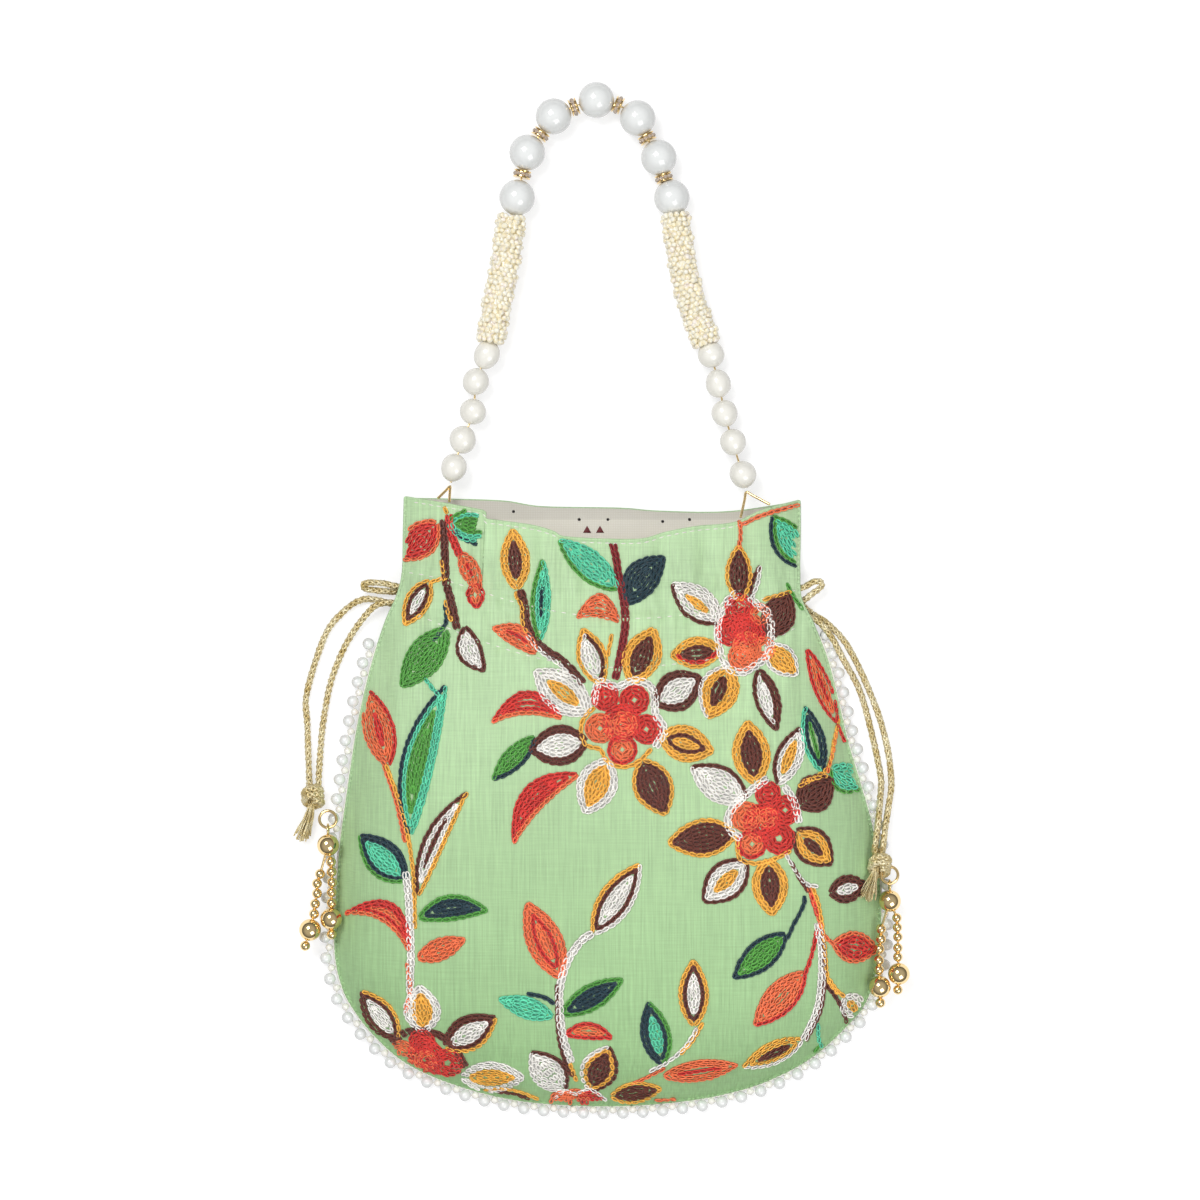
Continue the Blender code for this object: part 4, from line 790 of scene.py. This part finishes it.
CHAINS = """
W2 593,704 599,682 617,686 634,680 652,688 655,712 663,728 655,745
A 594,706 582,722 585,742 600,748 608,760 625,765 640,758 650,748
W2 736,592 725,604 717,622 718,648 726,666 740,672 756,664 766,655 770,640 768,615 755,604 748,596
W2 766,776 752,786 738,798 727,812 728,826 738,835|W2 782,784 792,800 797,820
A 735,835 738,855 755,860 775,855 788,848|A 762,600 790,592|A 800,780 825,775
B2 390,1045 405,1032 420,1028 440,1032 455,1045 466,1065|W 553,1100 565,1090 575,1093 590,1088 603,1098 608,1108
C 655,1102 690,1100|W2 415,1020 412,985 413,950 411,900 408,870|C 407,1010 412,985 409,960
A 417,925 416,880 411,840 401,800 388,765|C 407,840 398,800 385,765|A 372,1040 390,1048
A2 404,495 425,497 444,505 449,512|B2 444,520 445,545 447,580 452,600 458,628
R2 449,515 452,535 460,555|A 442,560 445,580|A 446,600 452,620|N 452,528 462,538 478,545
A 430,583 448,578|N 446,603 447,622 435,640|T 425,677 440,695
B2 521,590 525,605 528,625 536,640 550,652 565,662 583,682|A 516,592 522,606 523,622 527,632
W 527,634 540,650 556,661 568,672|D2 611,537 615,555 619,580 623,600 625,620 622,645 618,665 615,678
A 612,634 608,655
C 838,725 833,750 826,772|A 842,712 834,740 828,765 812,777 797,785|R 838,725 845,742
B 800,548 803,560 797,570|C 739,521 740,535 738,548|A 739,521 762,511 800,500|C 741,525 763,515 800,504
G 786,583 795,600 812,620|B 788,858 797,875 806,888|W 783,850 792,866 803,880 815,884
C 806,884 812,900 817,918 822,932 832,942|R 808,890 815,912|A 810,884 817,905 822,940 826,975 836,992
W2 815,920 819,940 820,960 819,985 815,1010 803,1038|B 819,925 822,950 822,990 819,1010 806,1040
N 803,893 800,905 792,920 785,935|R 815,925 810,950 803,970|B 822,980 832,992 840,1005 848,1025
A 826,975 835,988 843,995|T 817,1022 819,1040 826,1052 836,1049|G 813,1060 818,1048
A 702,1018 692,1036 680,1050|W 696,1024 685,1042 668,1058 650,1068|C 665,1065 645,1076 632,1082
W2 572,1060 563,1030 560,1000 561,980 568,957 580,938 592,929|B 573,1075 563,1050 558,1020 558,1000 557,980
A 577,1080 570,1060|N 528,989 543,992 554,998
"""


def card_lines(card):
    """The card's entries, each as its words."""
    return [entry.split() for line in card.split("\n") for entry in line.split("|") if entry.strip()]


# %% Rows of stitches
ROW_PITCH = 1.72 * MM
STITCH_PITCH = 2.9 * MM
stitches = {letter: [] for letter in THREADS}


def sew(letter, line):
    """Adds stitches of one colour along a line of metre points."""
    if len(line) > 1:
        places, ways = dashes(np.asarray(line), STITCH_PITCH)
        stitches[letter] += list(np.c_[places, ways])


def row_colours(words):
    """Left and right colour of each row, from the rim inwards; the last goes on to the middle."""
    rows = [word[0] + word[-1] for word in words.split(",")]
    return lambda k: rows[min(k, len(rows) - 1)]


def sew_lens(base, tip, width, colours, bend):
    """Fills a petal or leaf with rows that run from its base to its tip."""
    share = np.linspace(0, 1, 49)
    way = tip - base
    side = np.array([-way[1], way[0]])
    middle = base + share[:, None] * way + (4 * bend * share * (1 - share))[:, None] * side
    side = side / np.linalg.norm(side)
    half = width / 2 * np.sin(math.pi * np.clip(share, 0.002, 0.998) ** 0.92) ** 0.75
    for k in range(8):
        wide = half - (k + 0.45) * ROW_PITCH
        if wide.max() > 0.4 * ROW_PITCH:
            for letter, sign in zip(colours(k), (1, -1)):
                row = middle + sign * np.maximum(wide, 0.12 * ROW_PITCH)[:, None] * side
                sew(letter, row[wide > -0.15 * ROW_PITCH])
        elif wide.max() > -0.35 * ROW_PITCH:
            sew(colours(k)[0], middle[wide > -0.4 * ROW_PITCH])
            break


for words in card_lines(LENSES):
    ends = np.array([spot(float(words[0]), float(words[1])), spot(float(words[2]), float(words[3]))])
    sew_lens(ends[0], ends[1], float(words[4]) * PIXEL, row_colours(words[5]), float(words[6]))
for words in card_lines(DISCS):
    centre, radius = np.array(spot(float(words[0]), float(words[1]))), float(words[2]) * PIXEL
    turns = np.linspace(0, 2 * math.pi, 25)[:, None]
    for k in range(4):
        ring = radius - (k + 0.5) * ROW_PITCH
        if ring > 0.35 * ROW_PITCH:
            sew(row_colours(",".join(words[3]))(k)[0], centre + ring * np.c_[np.cos(turns), np.sin(turns)])
for words in card_lines(CHAINS):
    line = smooth_path(np.array([spot(*map(float, pair.split(","))) for pair in words[1:]]), 0.5 * MM)
    side = np.gradient(line, axis=0)
    side = np.c_[-side[:, 1], side[:, 0]] / np.linalg.norm(side, axis=1)[:, None]
    count = int(words[0][1:] or 1)
    for k in range(count):
        sew(words[0][0], line + (k - (count - 1) / 2) * 0.9 * ROW_PITCH * side)
print("stitches", sum(map(len, stitches.values())))


# %% [markdown]
# ### One chain stitch
#
# A chain stitch is a loop of thread, narrow where it comes up and round at its head, where the next
# one starts inside it. The thread is about 0.6 mm thick. Eight points and four sides are enough for
# it at this size. A flat bed under the loop stands for the thread packed between the rows. Its
# corners are marked in an attribute, so that the finish can paint the bed darker, as painted shade
# between the rows, and the loop a little lighter. Each copy is turned and sized a little by a seeded
# random number, as handwork is.

# %% Stitch template and its copies
LOOP = [(-1.5, 0, -0.25), (-0.7, 0.52, 0.02), (0.5, 0.68, 0.16), (1.4, 0.46, 0.28), (1.75, 0, 0.32),
        (1.4, -0.46, 0.28), (0.5, -0.68, 0.16), (-0.7, -0.52, 0.02)]
stitch = bmesh.new()
stitch.from_mesh(wire([np.array(LOOP) * MM], 0.31 * MM, 0, closed=True))
depth = stitch.verts.layers.float.new("depth")
bed = bmesh.ops.create_cube(stitch, size=1)["verts"]
bmesh.ops.scale(stitch, vec=(3.2 * MM, 1.5 * MM, 0.2 * MM), verts=bed)
bmesh.ops.translate(stitch, vec=(0.1 * MM, 0, -0.3 * MM), verts=bed)
for vert in bed:
    vert[depth] = 1
stitch = mesh_from(stitch)
outline = np.concatenate([seam, front_edge[::-1]])


def inside(points):
    """Which places lie on the front panel and not in the pleat by the left end of the mouth."""
    x, y = points[:, :1], points[:, 1:2]
    ax, ay = outline[:, 0], outline[:, 1]
    bx, by = np.roll(ax, -1), np.roll(ay, -1)
    crosses = (ay > y) != (by > y)
    reach = ax + (y - ay) / np.where(by == ay, 1, by - ay) * (bx - ax)
    clear = distance_to(outline[::2], points[:, 0], points[:, 1]) > 1.2 * MM
    (left, top), (right, low) = spot(479, 500), spot(497, 550)
    folded = (x > left) & (x < right) & (y > low) & (y < top)
    return ((crosses & (x < reach)).sum(axis=1) % 2 == 1) & clear & ~folded[:, 0]


def thread_finish(name, colour):
    """Shiny rayon thread: a lit twist at 0.35 mm, small changes of tone from loop to loop, and painted shade on the
    bed between the rows, with the loops painted a little lighter.
    """
    material, tree, shader, place = finish_of(name, 0.42, Sheen_Weight=0.15)
    twist = node(tree, "TexWave", {"Vector": place, "Scale": 420.0, "Distortion": 3.0}, bands_direction="DIAGONAL")
    tone = node(tree, "TexNoise", {"Vector": place, "Scale": 320.0})
    light = node(tree, "MapRange", {0: twist.outputs[1], 3: 0.90, 4: 1.05})
    patch = node(tree, "MapRange", {0: tone.outputs[0], 1: 0.3, 2: 0.7, 3: 0.84, 4: 1.12})
    # Painted shade and light: the bed under each loop is darkened to 0.6 as shade between the rows, and the loop
    # itself is lifted to 1.12.
    depth = node(tree, "Attribute", attribute_name="depth")
    deep = node(tree, "MapRange", {0: depth.outputs["Fac"], 3: 1.12, 4: 0.6})
    amount = node(tree, "Math", {0: light.outputs[0], 1: patch.outputs[0]}, operation="MULTIPLY")
    amount = node(tree, "Math", {0: amount.outputs[0], 1: deep.outputs[0]}, operation="MULTIPLY")
    toned = node(tree, "VectorMath", {0: linear(colour)[:3], "Scale": amount.outputs[0]}, operation="SCALE")
    tree.links.new(toned.outputs[0], shader.inputs["Base Color"])
    bump = node(tree, "Bump", {"Height": twist.outputs[1], "Distance": 0.12 * MM, "Strength": 0.5})
    tree.links.new(bump.outputs[0], shader.inputs["Normal"])
    return material


for letter, (name, colour) in THREADS.items():
    sewn = np.array(stitches[letter])
    sewn = sewn[inside(sewn)]
    wobble = rng.normal(0, 0.09, len(sewn))
    ways = np.c_[sewn[:, 2] - wobble * sewn[:, 3], sewn[:, 3] + wobble * sewn[:, 2]]
    laid = lay_on_cloth(sewn[:, :2], ways, 0.3 * MM)
    laid[:, :3, :3] *= rng.uniform(0.92, 1.08, (len(sewn), 1, 1))
    add_piece(f"chain_stitch_{name}", copies(stitch, laid), thread_finish(f"{name}_rayon_thread", colour), "bag")

# %% [markdown]
# ## Pearls
#
# The pearls are glass beads with a pearl coat. The coat gives a soft broad highlight under a thin
# clear layer, and its rim, seen at a low angle, is painted a darker grey as painted shade. A Layer
# Weight mixes that painted shade in, and faint noise keeps the coat from looking like paint.


# %% Pearl finish
def pearl_finish(name, face_colour, rim_shade_colour, roughness):
    material, tree, shader, place = finish_of(name, roughness, Coat_Weight=0.7, Coat_Roughness=0.08)
    cloud = node(tree, "TexNoise", {"Vector": place, "Scale": 210.0, "Detail": 3.0})
    edge = node(tree, "LayerWeight", {"Blend": 0.35})
    amount = node(tree, "Math", {0: edge.outputs[1], 1: cloud.outputs[0]}, operation="MULTIPLY")
    # Painted shade: the rim, seen at a low angle, is mixed towards a darker grey.
    colour = node(tree, "Mix", {0: amount.outputs[0], 6: linear(face_colour), 7: linear(rim_shade_colour)},
                  data_type="RGBA")
    tree.links.new(colour.outputs[2], shader.inputs["Base Color"])
    bump = node(tree, "Bump", {"Height": cloud.outputs[0], "Distance": 0.1 * MM, "Strength": 0.15})
    tree.links.new(bump.outputs[0], shader.inputs["Normal"])
    return material


# Each pearl's second colour is the painted shade at its rim.
cool_pearl = pearl_finish("cool_white_pearl", "F2F4F3", "B9B7B2", 0.14)
ivory_pearl = pearl_finish("ivory_pearl", "FAF8F0", "C4BEAC", 0.22)

# %% Pearl edging
edge_line = seam[edged[0]:edged[-1] + 1]
count = 2 * round(np.hypot(*np.diff(edge_line, axis=0).T).sum() / (7.9 * MM))
places = smooth_path(edge_line, np.hypot(*np.diff(edge_line, axis=0).T).sum() / count)
along = np.gradient(places, axis=0)
out = np.c_[along[:, 1], -along[:, 0]] / np.linalg.norm(along, axis=1)[:, None]
lean = ease(-places[:, 0], 60 * MM, 105 * MM)
large = np.arange(len(places)) % 2 == 0
offset = np.where(large, 3.4 * MM + 1.0 * MM * lean, 2.2 * MM + 0.6 * MM * lean)
beads = np.c_[places + out * offset[:, None], np.full(len(places), 2.5 * MM)]
add_piece("edging_pearls", copies(mesh_from(ball(14, 10, 2.4 * MM)), [aimed(p, (1, 0.3, 0)) for p in beads[large]]),
          cool_pearl, "bag", ["pearl_edging"])
add_piece("edging_seed_pearls",
          copies(mesh_from(ball(10, 8, 1.5 * MM)), [aimed(p, (1, 0.3, 0)) for p in beads[~large]]),
          ivory_pearl, "bag", ())
add_piece("edging_thread", wire([beads], 0.3 * MM, 1), white_cotton, "bag")

# %% [markdown]
# ## Handle
#
# Everything on the handle is strung on one wire, so every bead is turned to the wire's own
# direction. The strand lies on the table and climbs to the two gold loops that tie it to the mouth.
# The wire and the beads are read from the same points as the solids, so they swing as one.

# %% The strand and its points
HANDLE_Z = 7.3 * MM
LOOP_APEX_Z = 8.4 * MM
STRAND = [(-63.1, 47.4), (-62.2, 53.2), (-58.2, 64.8), (-54.2, 76), (-53, 88), (-49, 98.4), (-47.6, 105),
          (-41, 137), (-38.8, 155.6), (-36.6, 161.6), (-34.6, 170.8), (-32.6, 179.6), (-27.4, 186.8),
          (-21.8, 194.4), (-13.8, 198), (-5, 200.8), (3.8, 198.8), (11.6, 193.6), (15.4, 185.6),
          (20.2, 177.6), (22.2, 169.6), (25.4, 161.6), (26.8, 154.8), (30.6, 130), (39.2, 102.8),
          (41, 98.6), (44.2, 87.2), (46.6, 75.2), (49.8, 63.6), (53.8, 50.4), (55.0, 45.2)]
LARGE_PEARLS = [(-36.6, 161.6), (-32.6, 179.6), (-21.8, 194.4), (-5, 200.8), (11.6, 193.6), (20.2, 177.6),
                (25.4, 161.6)]
RONDELLES = [(-34.6, 170.8), (-27.4, 186.8), (-13.8, 198), (3.8, 198.8), (15.4, 185.6), (22.2, 169.6)]
SMALL_PEARLS = {"left": [(-49, 98.4), (-53, 88), (-54.2, 76), (-58.2, 64.8), (-62.2, 53.2)],
                "right": [(41, 98.6), (44.2, 87.2), (46.6, 75.2), (49.8, 63.6), (53.8, 50.4)]}
WOVEN_TUBES = {"left": [(-39.0, 153.6), (-41, 137), (-43.8, 123.6), (-47.4, 104.4)],
               "right": [(26.8, 154.4), (30.6, 130), (34.4, 117), (39.4, 103.6)]}
LOOPS = {"left": [(-68.2, 41.0, 11.5), (-63.4, 46.0, 8.4), (-63.6, 39.6, 11.5)],
         "right": [(52.8, 33.4, 11.5), (55.2, 43.6, 8.4), (64.4, 38.6, 11.5)]}


def strand_height(y):
    """The strand lies on the surface and climbs to the loops at the mouth."""
    return HANDLE_Z + (LOOP_APEX_Z - HANDLE_Z) * (1 - ease(y, 44 * MM, 75 * MM))


strand = smooth_path(np.array(STRAND) * MM, 0.5 * MM)
strand = np.c_[strand, strand_height(strand[:, 1])]


def bead_at(x, y):
    """The strand's nearest point to this one, in millimetres, and its direction there."""
    k = int(np.clip(np.argmin(np.hypot(strand[:, 0] - x * MM, strand[:, 1] - y * MM)), 1, len(strand) - 2))
    return strand[k], strand[k + 1] - strand[k - 1]


add_piece("large_pearls", copies(mesh_from(ball(36, 24, 7.2 * MM)), [aimed(*bead_at(*p)) for p in LARGE_PEARLS]),
          cool_pearl, "handle", [f"handle_pearl_{k}" for k in range(1, 8)])

# %% [markdown]
# ### Potato pearls
#
# The five small pearls on each side are longer than wide, and no two are quite alike. Each starts
# as a ball, is drawn out along the wire, and a few broad waves dent it.

# %% Small pearls
shapes = bmesh.new()
for side, spots in SMALL_PEARLS.items():
    for place in spots:
        one = bmesh.new()
        bmesh.ops.create_uvsphere(one, u_segments=28, v_segments=20, radius=1)
        dents = rng.uniform(0, 6.28, 3)
        for vert in one.verts:
            x, y, z = vert.co
            swell = 1 + 0.035 * math.sin(2.2 * x + dents[0]) + 0.035 * math.sin(2.6 * z + dents[1] + y)
            vert.co *= swell * 5.1 * MM * (1 - 0.05 * abs(z) ** 2)
        one.transform(Matrix(aimed(*bead_at(*place), (1.02, 1.02, 1.15), dents[2]).tolist()))
        mesh = mesh_from(one)
        shapes.from_mesh(mesh)
add_piece("potato_pearls", mesh_from(shapes), ivory_pearl, "handle",
          [f"small_pearl_{side}_{k}" for side in SMALL_PEARLS for k in range(1, 6)])

# %% [markdown]
# ### Woven sleeves
#
# Two sleeves of tiny cream beads cover the wire below the large pearls. They are woven in rings,
# and each ring is turned by half a bead against the last. The beads are clear cream with a weak
# rainbow coat, so their colour wanders between yellow, white and a trace of pink.


# %% Bead sleeves
def cream_bead_finish():
    material, tree, shader, place = finish_of("cream_lustre_bead", 0.16, Coat_Weight=0.5)
    shader.inputs["Transmission Weight"].default_value = 0.06
    # Painted light: the beads glow faintly in their own colour, so the shade between them is lifted.
    shader.inputs["Emission Strength"].default_value = 0.06  # painted light: a faint glow that stands in for light the clear glass passes from bead to bead
    hue = node(tree, "TexNoise", {"Vector": place, "Scale": 330.0, "Detail": 1.0})
    ramp = node(tree, "ValToRGB", {0: hue.outputs[0]})
    stops = [(0.34, "F9EECB"), (0.46, "FCFAF0"), (0.55, "F6EAC4"), (0.66, "FBF3EA")]
    for k, (place_on, colour) in enumerate(stops):
        stop = ramp.color_ramp.elements[k] if k < 2 else ramp.color_ramp.elements.new(place_on)
        stop.position, stop.color = place_on, linear(colour)
    tree.links.new(ramp.outputs[0], shader.inputs["Base Color"])
    tree.links.new(ramp.outputs[0], shader.inputs["Emission Color"])
    bump = node(tree, "Bump", {"Height": hue.outputs[0], "Distance": 0.2 * MM, "Strength": 0.3})
    tree.links.new(bump.outputs[0], shader.inputs["Normal"])
    return material


cream_bead = cream_bead_finish()
bead_shape = ball(8, 6, 1.22 * MM)
bead_shape = mesh_from(bead_shape)
for side, points in WOVEN_TUBES.items():
    line = smooth_path(np.array(points) * MM, 0.5 * MM)
    line = np.c_[line, strand_height(line[:, 1])]
    rows = even_steps(line, 1.95 * MM)
    one, other = frames_along(rows)
    laid = []
    for k in range(len(rows)):
        for turn in (np.arange(13) + 0.5 * (k % 2)) * 2 * math.pi / 13:
            reach = (4.6 + rng.choice([-0.35, 0, 0.1, 0.75])) * MM
            turn = turn + rng.normal(0, 0.06)
            place = rows[k] + reach * (math.cos(turn) * one[k] + math.sin(turn) * other[k])
            place = place + rng.normal(0, 0.22 * MM) * np.cross(one[k], other[k])
            laid.append(aimed(place, rng.normal(0, 1, 3), rng.uniform(0.9, 1.12)))
    sleeve = bmesh.new()
    sleeve.from_mesh(copies(bead_shape, laid))
    sleeve.from_mesh(wire([line], 4.25 * MM, 5))
    add_piece(f"bead_sleeve_{side}", mesh_from(sleeve), cream_bead,
              "handle", [f"woven_tube_{side}"])


# %% [markdown]
# ### Rondelles
#
# Each rondelle is a gold wheel with a ring of cut stones between its two rims. The stones are small
# low-poly balls left unsmoothed, so that each keeps its facets.

# %% Rondelle wheels and stones
def gold_finish(name, colour, roughness):
    """Polished gold plating: a metal whose gloss changes a little where it has been handled."""
    material, tree, shader, place = finish_of(name, roughness, Metallic=1.0)
    shader.inputs["Base Color"].default_value = linear(colour)
    worn = node(tree, "TexNoise", {"Vector": place, "Scale": 500.0, "Detail": 2.0})
    gloss = node(tree, "MapRange", {0: worn.outputs[0], 1: 0.3, 2: 0.7, 3: roughness * 0.7, 4: roughness * 1.6})
    tree.links.new(gloss.outputs[0], shader.inputs["Roughness"])
    bump = node(tree, "Bump", {"Height": worn.outputs[0], "Distance": 0.03 * MM, "Strength": 0.15})
    tree.links.new(bump.outputs[0], shader.inputs["Normal"])
    return material


def stone_finish():
    material, tree, shader, place = finish_of("champagne_glass_stone", 0.04)
    shader.inputs["Transmission Weight"].default_value = 0.35
    shader.inputs["IOR"].default_value = 1.55
    tint = node(tree, "TexNoise", {"Vector": place, "Scale": 600.0})
    colour = node(tree, "Mix", {0: tint.outputs[0], 6: linear("B9A28C"), 7: linear("FBF1E6")}, data_type="RGBA")
    tree.links.new(colour.outputs[2], shader.inputs["Base Color"])
    return material


gold = gold_finish("polished_gold_plate", "F0D39A", 0.1)
rim = [(0.3, -1.55), (3.4, -1.55), (3.55, -1.4), (3.4, -1.1), (2.6, -0.95)]
wheel = turned([(r * MM, z * MM) for r, z in rim + [(r, -z) for r, z in rim[::-1]] + rim[:1]], 32)
STONE_RING = 2.95 * MM
stone = bmesh.new()
bmesh.ops.create_icosphere(stone, subdivisions=1, radius=0.92 * MM)
stone = mesh_from(stone)
wheels, stones = [], []
for place in RONDELLES:
    laid = aimed(*bead_at(*place))
    wheels.append(laid)
    for turn in np.arange(11) * 2 * math.pi / 11:
        at = (STONE_RING * math.cos(turn), STONE_RING * math.sin(turn), 0)
        stones.append(laid @ aimed(at, (0.3, 0.2, 1), 1, turn))
add_piece("rondelle_wheels", copies(wheel, wheels), gold, "handle", [f"rondelle_{k}" for k in range(1, 7)],
          smooth=False)
add_piece("rondelle_stones", copies(stone, stones), stone_finish(), "handle", (), smooth=False)

# %% [markdown]
# ### Wire and loops
#
# The wire shows between the beads. Each end is tied to a bent gold loop whose two feet go into the
# mouth's hem.

# %% Handle wire and gold loops
add_piece("strand_wire", wire([strand[::6]], 0.4 * MM, 1), gold, "handle", ["handle_wire"])
for side, points in LOOPS.items():
    foot, apex, other_foot = np.array(points) * MM
    bends = np.array([foot, 0.3 * foot + 0.7 * apex, apex, 0.3 * other_foot + 0.7 * apex, other_foot])
    add_piece(f"mouth_loop_{side}", wire([smooth_path(bends, 0.6 * MM)], 0.55 * MM, 2), gold, "handle",
              [f"gold_loop_{side}"])

# %% [markdown]
# ## Rings and tassels
#
# A jump ring hangs in each knot, the large ball's eye hangs in the ring, and two strands of small
# balls hang from the ball. They are hollow metal beads with a mirror plating, so their look is all
# reflection: a bright patch from the light above and a dark band from the room's sides.

# %% Jump rings
BIG_BALL = 5
RINGS = {"left": (-112.4, -87.4, 8.2), "right": (112.4, -109.6, 10.0)}
TOP_BALLS = {"left": (-112.2, -97.7, 9.8), "right": (112.6, -120, 9.8)}
STRANDS = {
    "left": {"inner": [(-111, -104.4), (-110.8, -108.4), (-110.6, -112.6), (-110.8, -116.6), (-110.8, -120.8),
                       (-111, -127.2), (-110.8, -133.4)],
             "outer": [(-115.4, -109.2), (-116.6, -113), (-116.6, -117), (-117.4, -121.2), (-117.8, -125.2),
                       (-119.4, -131.6), (-121.4, -138)]},
    "right": {"inner": [(109, -131.2), (109, -135.2), (108.4, -139.2), (108.2, -143.8), (108.2, -147.6),
                        (108.6, -154.4), (108.8, -160.8)],
              "outer": [(115.4, -126.8), (115.6, -130.6), (115.8, -134.4), (115.8, -138.8), (115.8, -142.4),
                        (116.2, -149.2), (115.8, -155.6)]},
}
for side, centre in RINGS.items():
    turns = np.linspace(0, 2 * math.pi, 33)[:-1]
    circle = np.array(centre) * MM + 3.4 * MM * np.c_[np.cos(turns), np.sin(turns), 0 * turns]
    add_piece(f"jump_wire_{side}", wire([circle], 0.6 * MM, 2, closed=True), gold, f"drawcord_{side}",
              [f"jump_ring_{side}"])

# %% Balls and strands
mirror_gold = gold_finish("mirror_gold_bead", "F1D6A0", 0.07)
BALL_RADIUS = 4.4 * MM
for side in RINGS:
    ring, top = np.array(RINGS[side]) * MM, np.array(TOP_BALLS[side]) * MM
    down = (top - ring) / np.linalg.norm(top - ring)
    eye = ring + down * 4.2 * MM
    eye[2] = ring[2]
    head = bmesh.new()
    head.from_mesh(copies(mesh_from(ball(36, 24, BALL_RADIUS)), [aimed(top, down)]))
    turns = np.linspace(0, 2 * math.pi, 25)[:-1, None]
    head.from_mesh(wire([eye + 2.1 * MM * (np.cos(turns) * down + np.sin(turns) * np.array([0, 0, 1]))],
                        0.45 * MM, 2, closed=True))
    add_piece(f"large_ball_{side}", mesh_from(head), mirror_gold, f"tassel_{side}", [f"tassel_{side}_top_ball"])
    for which, points in STRANDS[side].items():
        heights = np.linspace(9.8, 9.4, len(points))
        line = np.array([(x, y, z) for (x, y), z in zip(points, heights)]) * MM
        small = min(2.35 * MM, 0.51 * float(np.linalg.norm(line[1] - line[0])))
        ways = np.gradient(line, axis=0)
        beads = [aimed(line[k], ways[k], small if k != BIG_BALL else BALL_RADIUS) for k in range(len(line))]
        string = bmesh.new()
        string.from_mesh(copies(mesh_from(ball(20, 14, 1)), [b for k, b in enumerate(beads) if k != BIG_BALL]))
        start = top + (line[0] - top) / np.linalg.norm(line[0] - top) * BALL_RADIUS
        string.from_mesh(wire([np.concatenate([[start], line])], 0.5 * MM, 1))
        body = f"tassel_{side}_{which}"
        add_piece(f"bead_string_{side}_{which}", mesh_from(string), mirror_gold, body, [f"{body}_strand"])
        add_piece(f"big_bead_{side}_{which}", copies(mesh_from(ball(36, 24, 1)), [beads[BIG_BALL]]), mirror_gold,
                  body, [f"{body}_ball"])

# %% [markdown]
# ## The drawcords' lengths
#
# The two drawcords are free cords: each starts and ends in its own knot. Their lengths are those of
# the routes above, measured and printed here. The silk panels are cut to one pattern and the lining
# as one rounded piece, and the drawcords gather all three.

for side, (cord, path, knot, tail) in cord_pieces.items():
    measured = float(np.linalg.norm(np.diff(path, axis=0), axis=1).sum())
    print("cord", side, round(measured, 4), "m")

# %% [markdown]
# ## Floor and light
#
# The bag was photographed on white in soft light. The floor is white and glows a little for the
# camera and for reflections, so it stays white, and it still takes the bag's soft shadow. A large
# lamp above the upper left models the pleats and the balls, and a weaker one fills from the right.
# The room's sides are darker than its top, which gives the gold its dark bands.


# %% Floor
def floor_finish():
    material = bpy.data.materials.new("white_paper")
    material.use_nodes = True
    tree = material.node_tree
    shader = tree.nodes["Principled BSDF"]
    shader.inputs["Base Color"].default_value = linear("BDBDBD")
    shader.inputs["Roughness"].default_value = 0.9
    rays = node(tree, "LightPath")
    seen = node(tree, "Math", {0: rays.outputs["Is Camera Ray"], 1: rays.outputs["Is Glossy Ray"]},
                operation="ADD")
    seen = node(tree, "Math", {0: seen.outputs[0], 1: rays.outputs["Is Transmission Ray"]}, operation="ADD")
    glow = node(tree, "Math", {0: seen.outputs[0], 1: 0.62}, operation="MULTIPLY")
    shader.inputs["Emission Color"].default_value = (1, 1, 1, 1)
    tree.links.new(glow.outputs[0], shader.inputs["Emission Strength"])
    return material


shape = bmesh.new()
bmesh.ops.create_grid(shape, x_segments=1, y_segments=1, size=3.0)
floor = bpy.data.objects.new("floor", mesh_from(shape))
bpy.context.scene.collection.objects.link(floor)
floor.data.materials.append(floor_finish())

# %% Lamps and room
room = bpy.data.worlds.new("room")
bpy.context.scene.world = room
room.use_nodes = True
tree = room.node_tree
direction = node(tree, "SeparateXYZ", {0: node(tree, "TexCoord").outputs["Generated"]})
level = node(tree, "MapRange", {0: direction.outputs[2], 1: 0.1, 2: 0.75, 3: 0.22, 4: 1.0})
tree.links.new(level.outputs[0], tree.nodes["Background"].inputs["Color"])
tree.nodes["Background"].inputs["Strength"].default_value = 0.5

for name, place, size, power in (("key_light", (-0.55, 0.65, 1.5), 0.7, 14),
                                 ("fill_light", (0.5, -0.8, 1.1), 0.8, 7)):
    lamp = bpy.data.objects.new(name, bpy.data.lights.new(name, "AREA"))
    lamp.data.size, lamp.data.energy = size, power
    lamp.location = place
    lamp.rotation_euler = (Vector(place)).to_track_quat("Z", "Y").to_euler()
    bpy.context.scene.collection.objects.link(lamp)
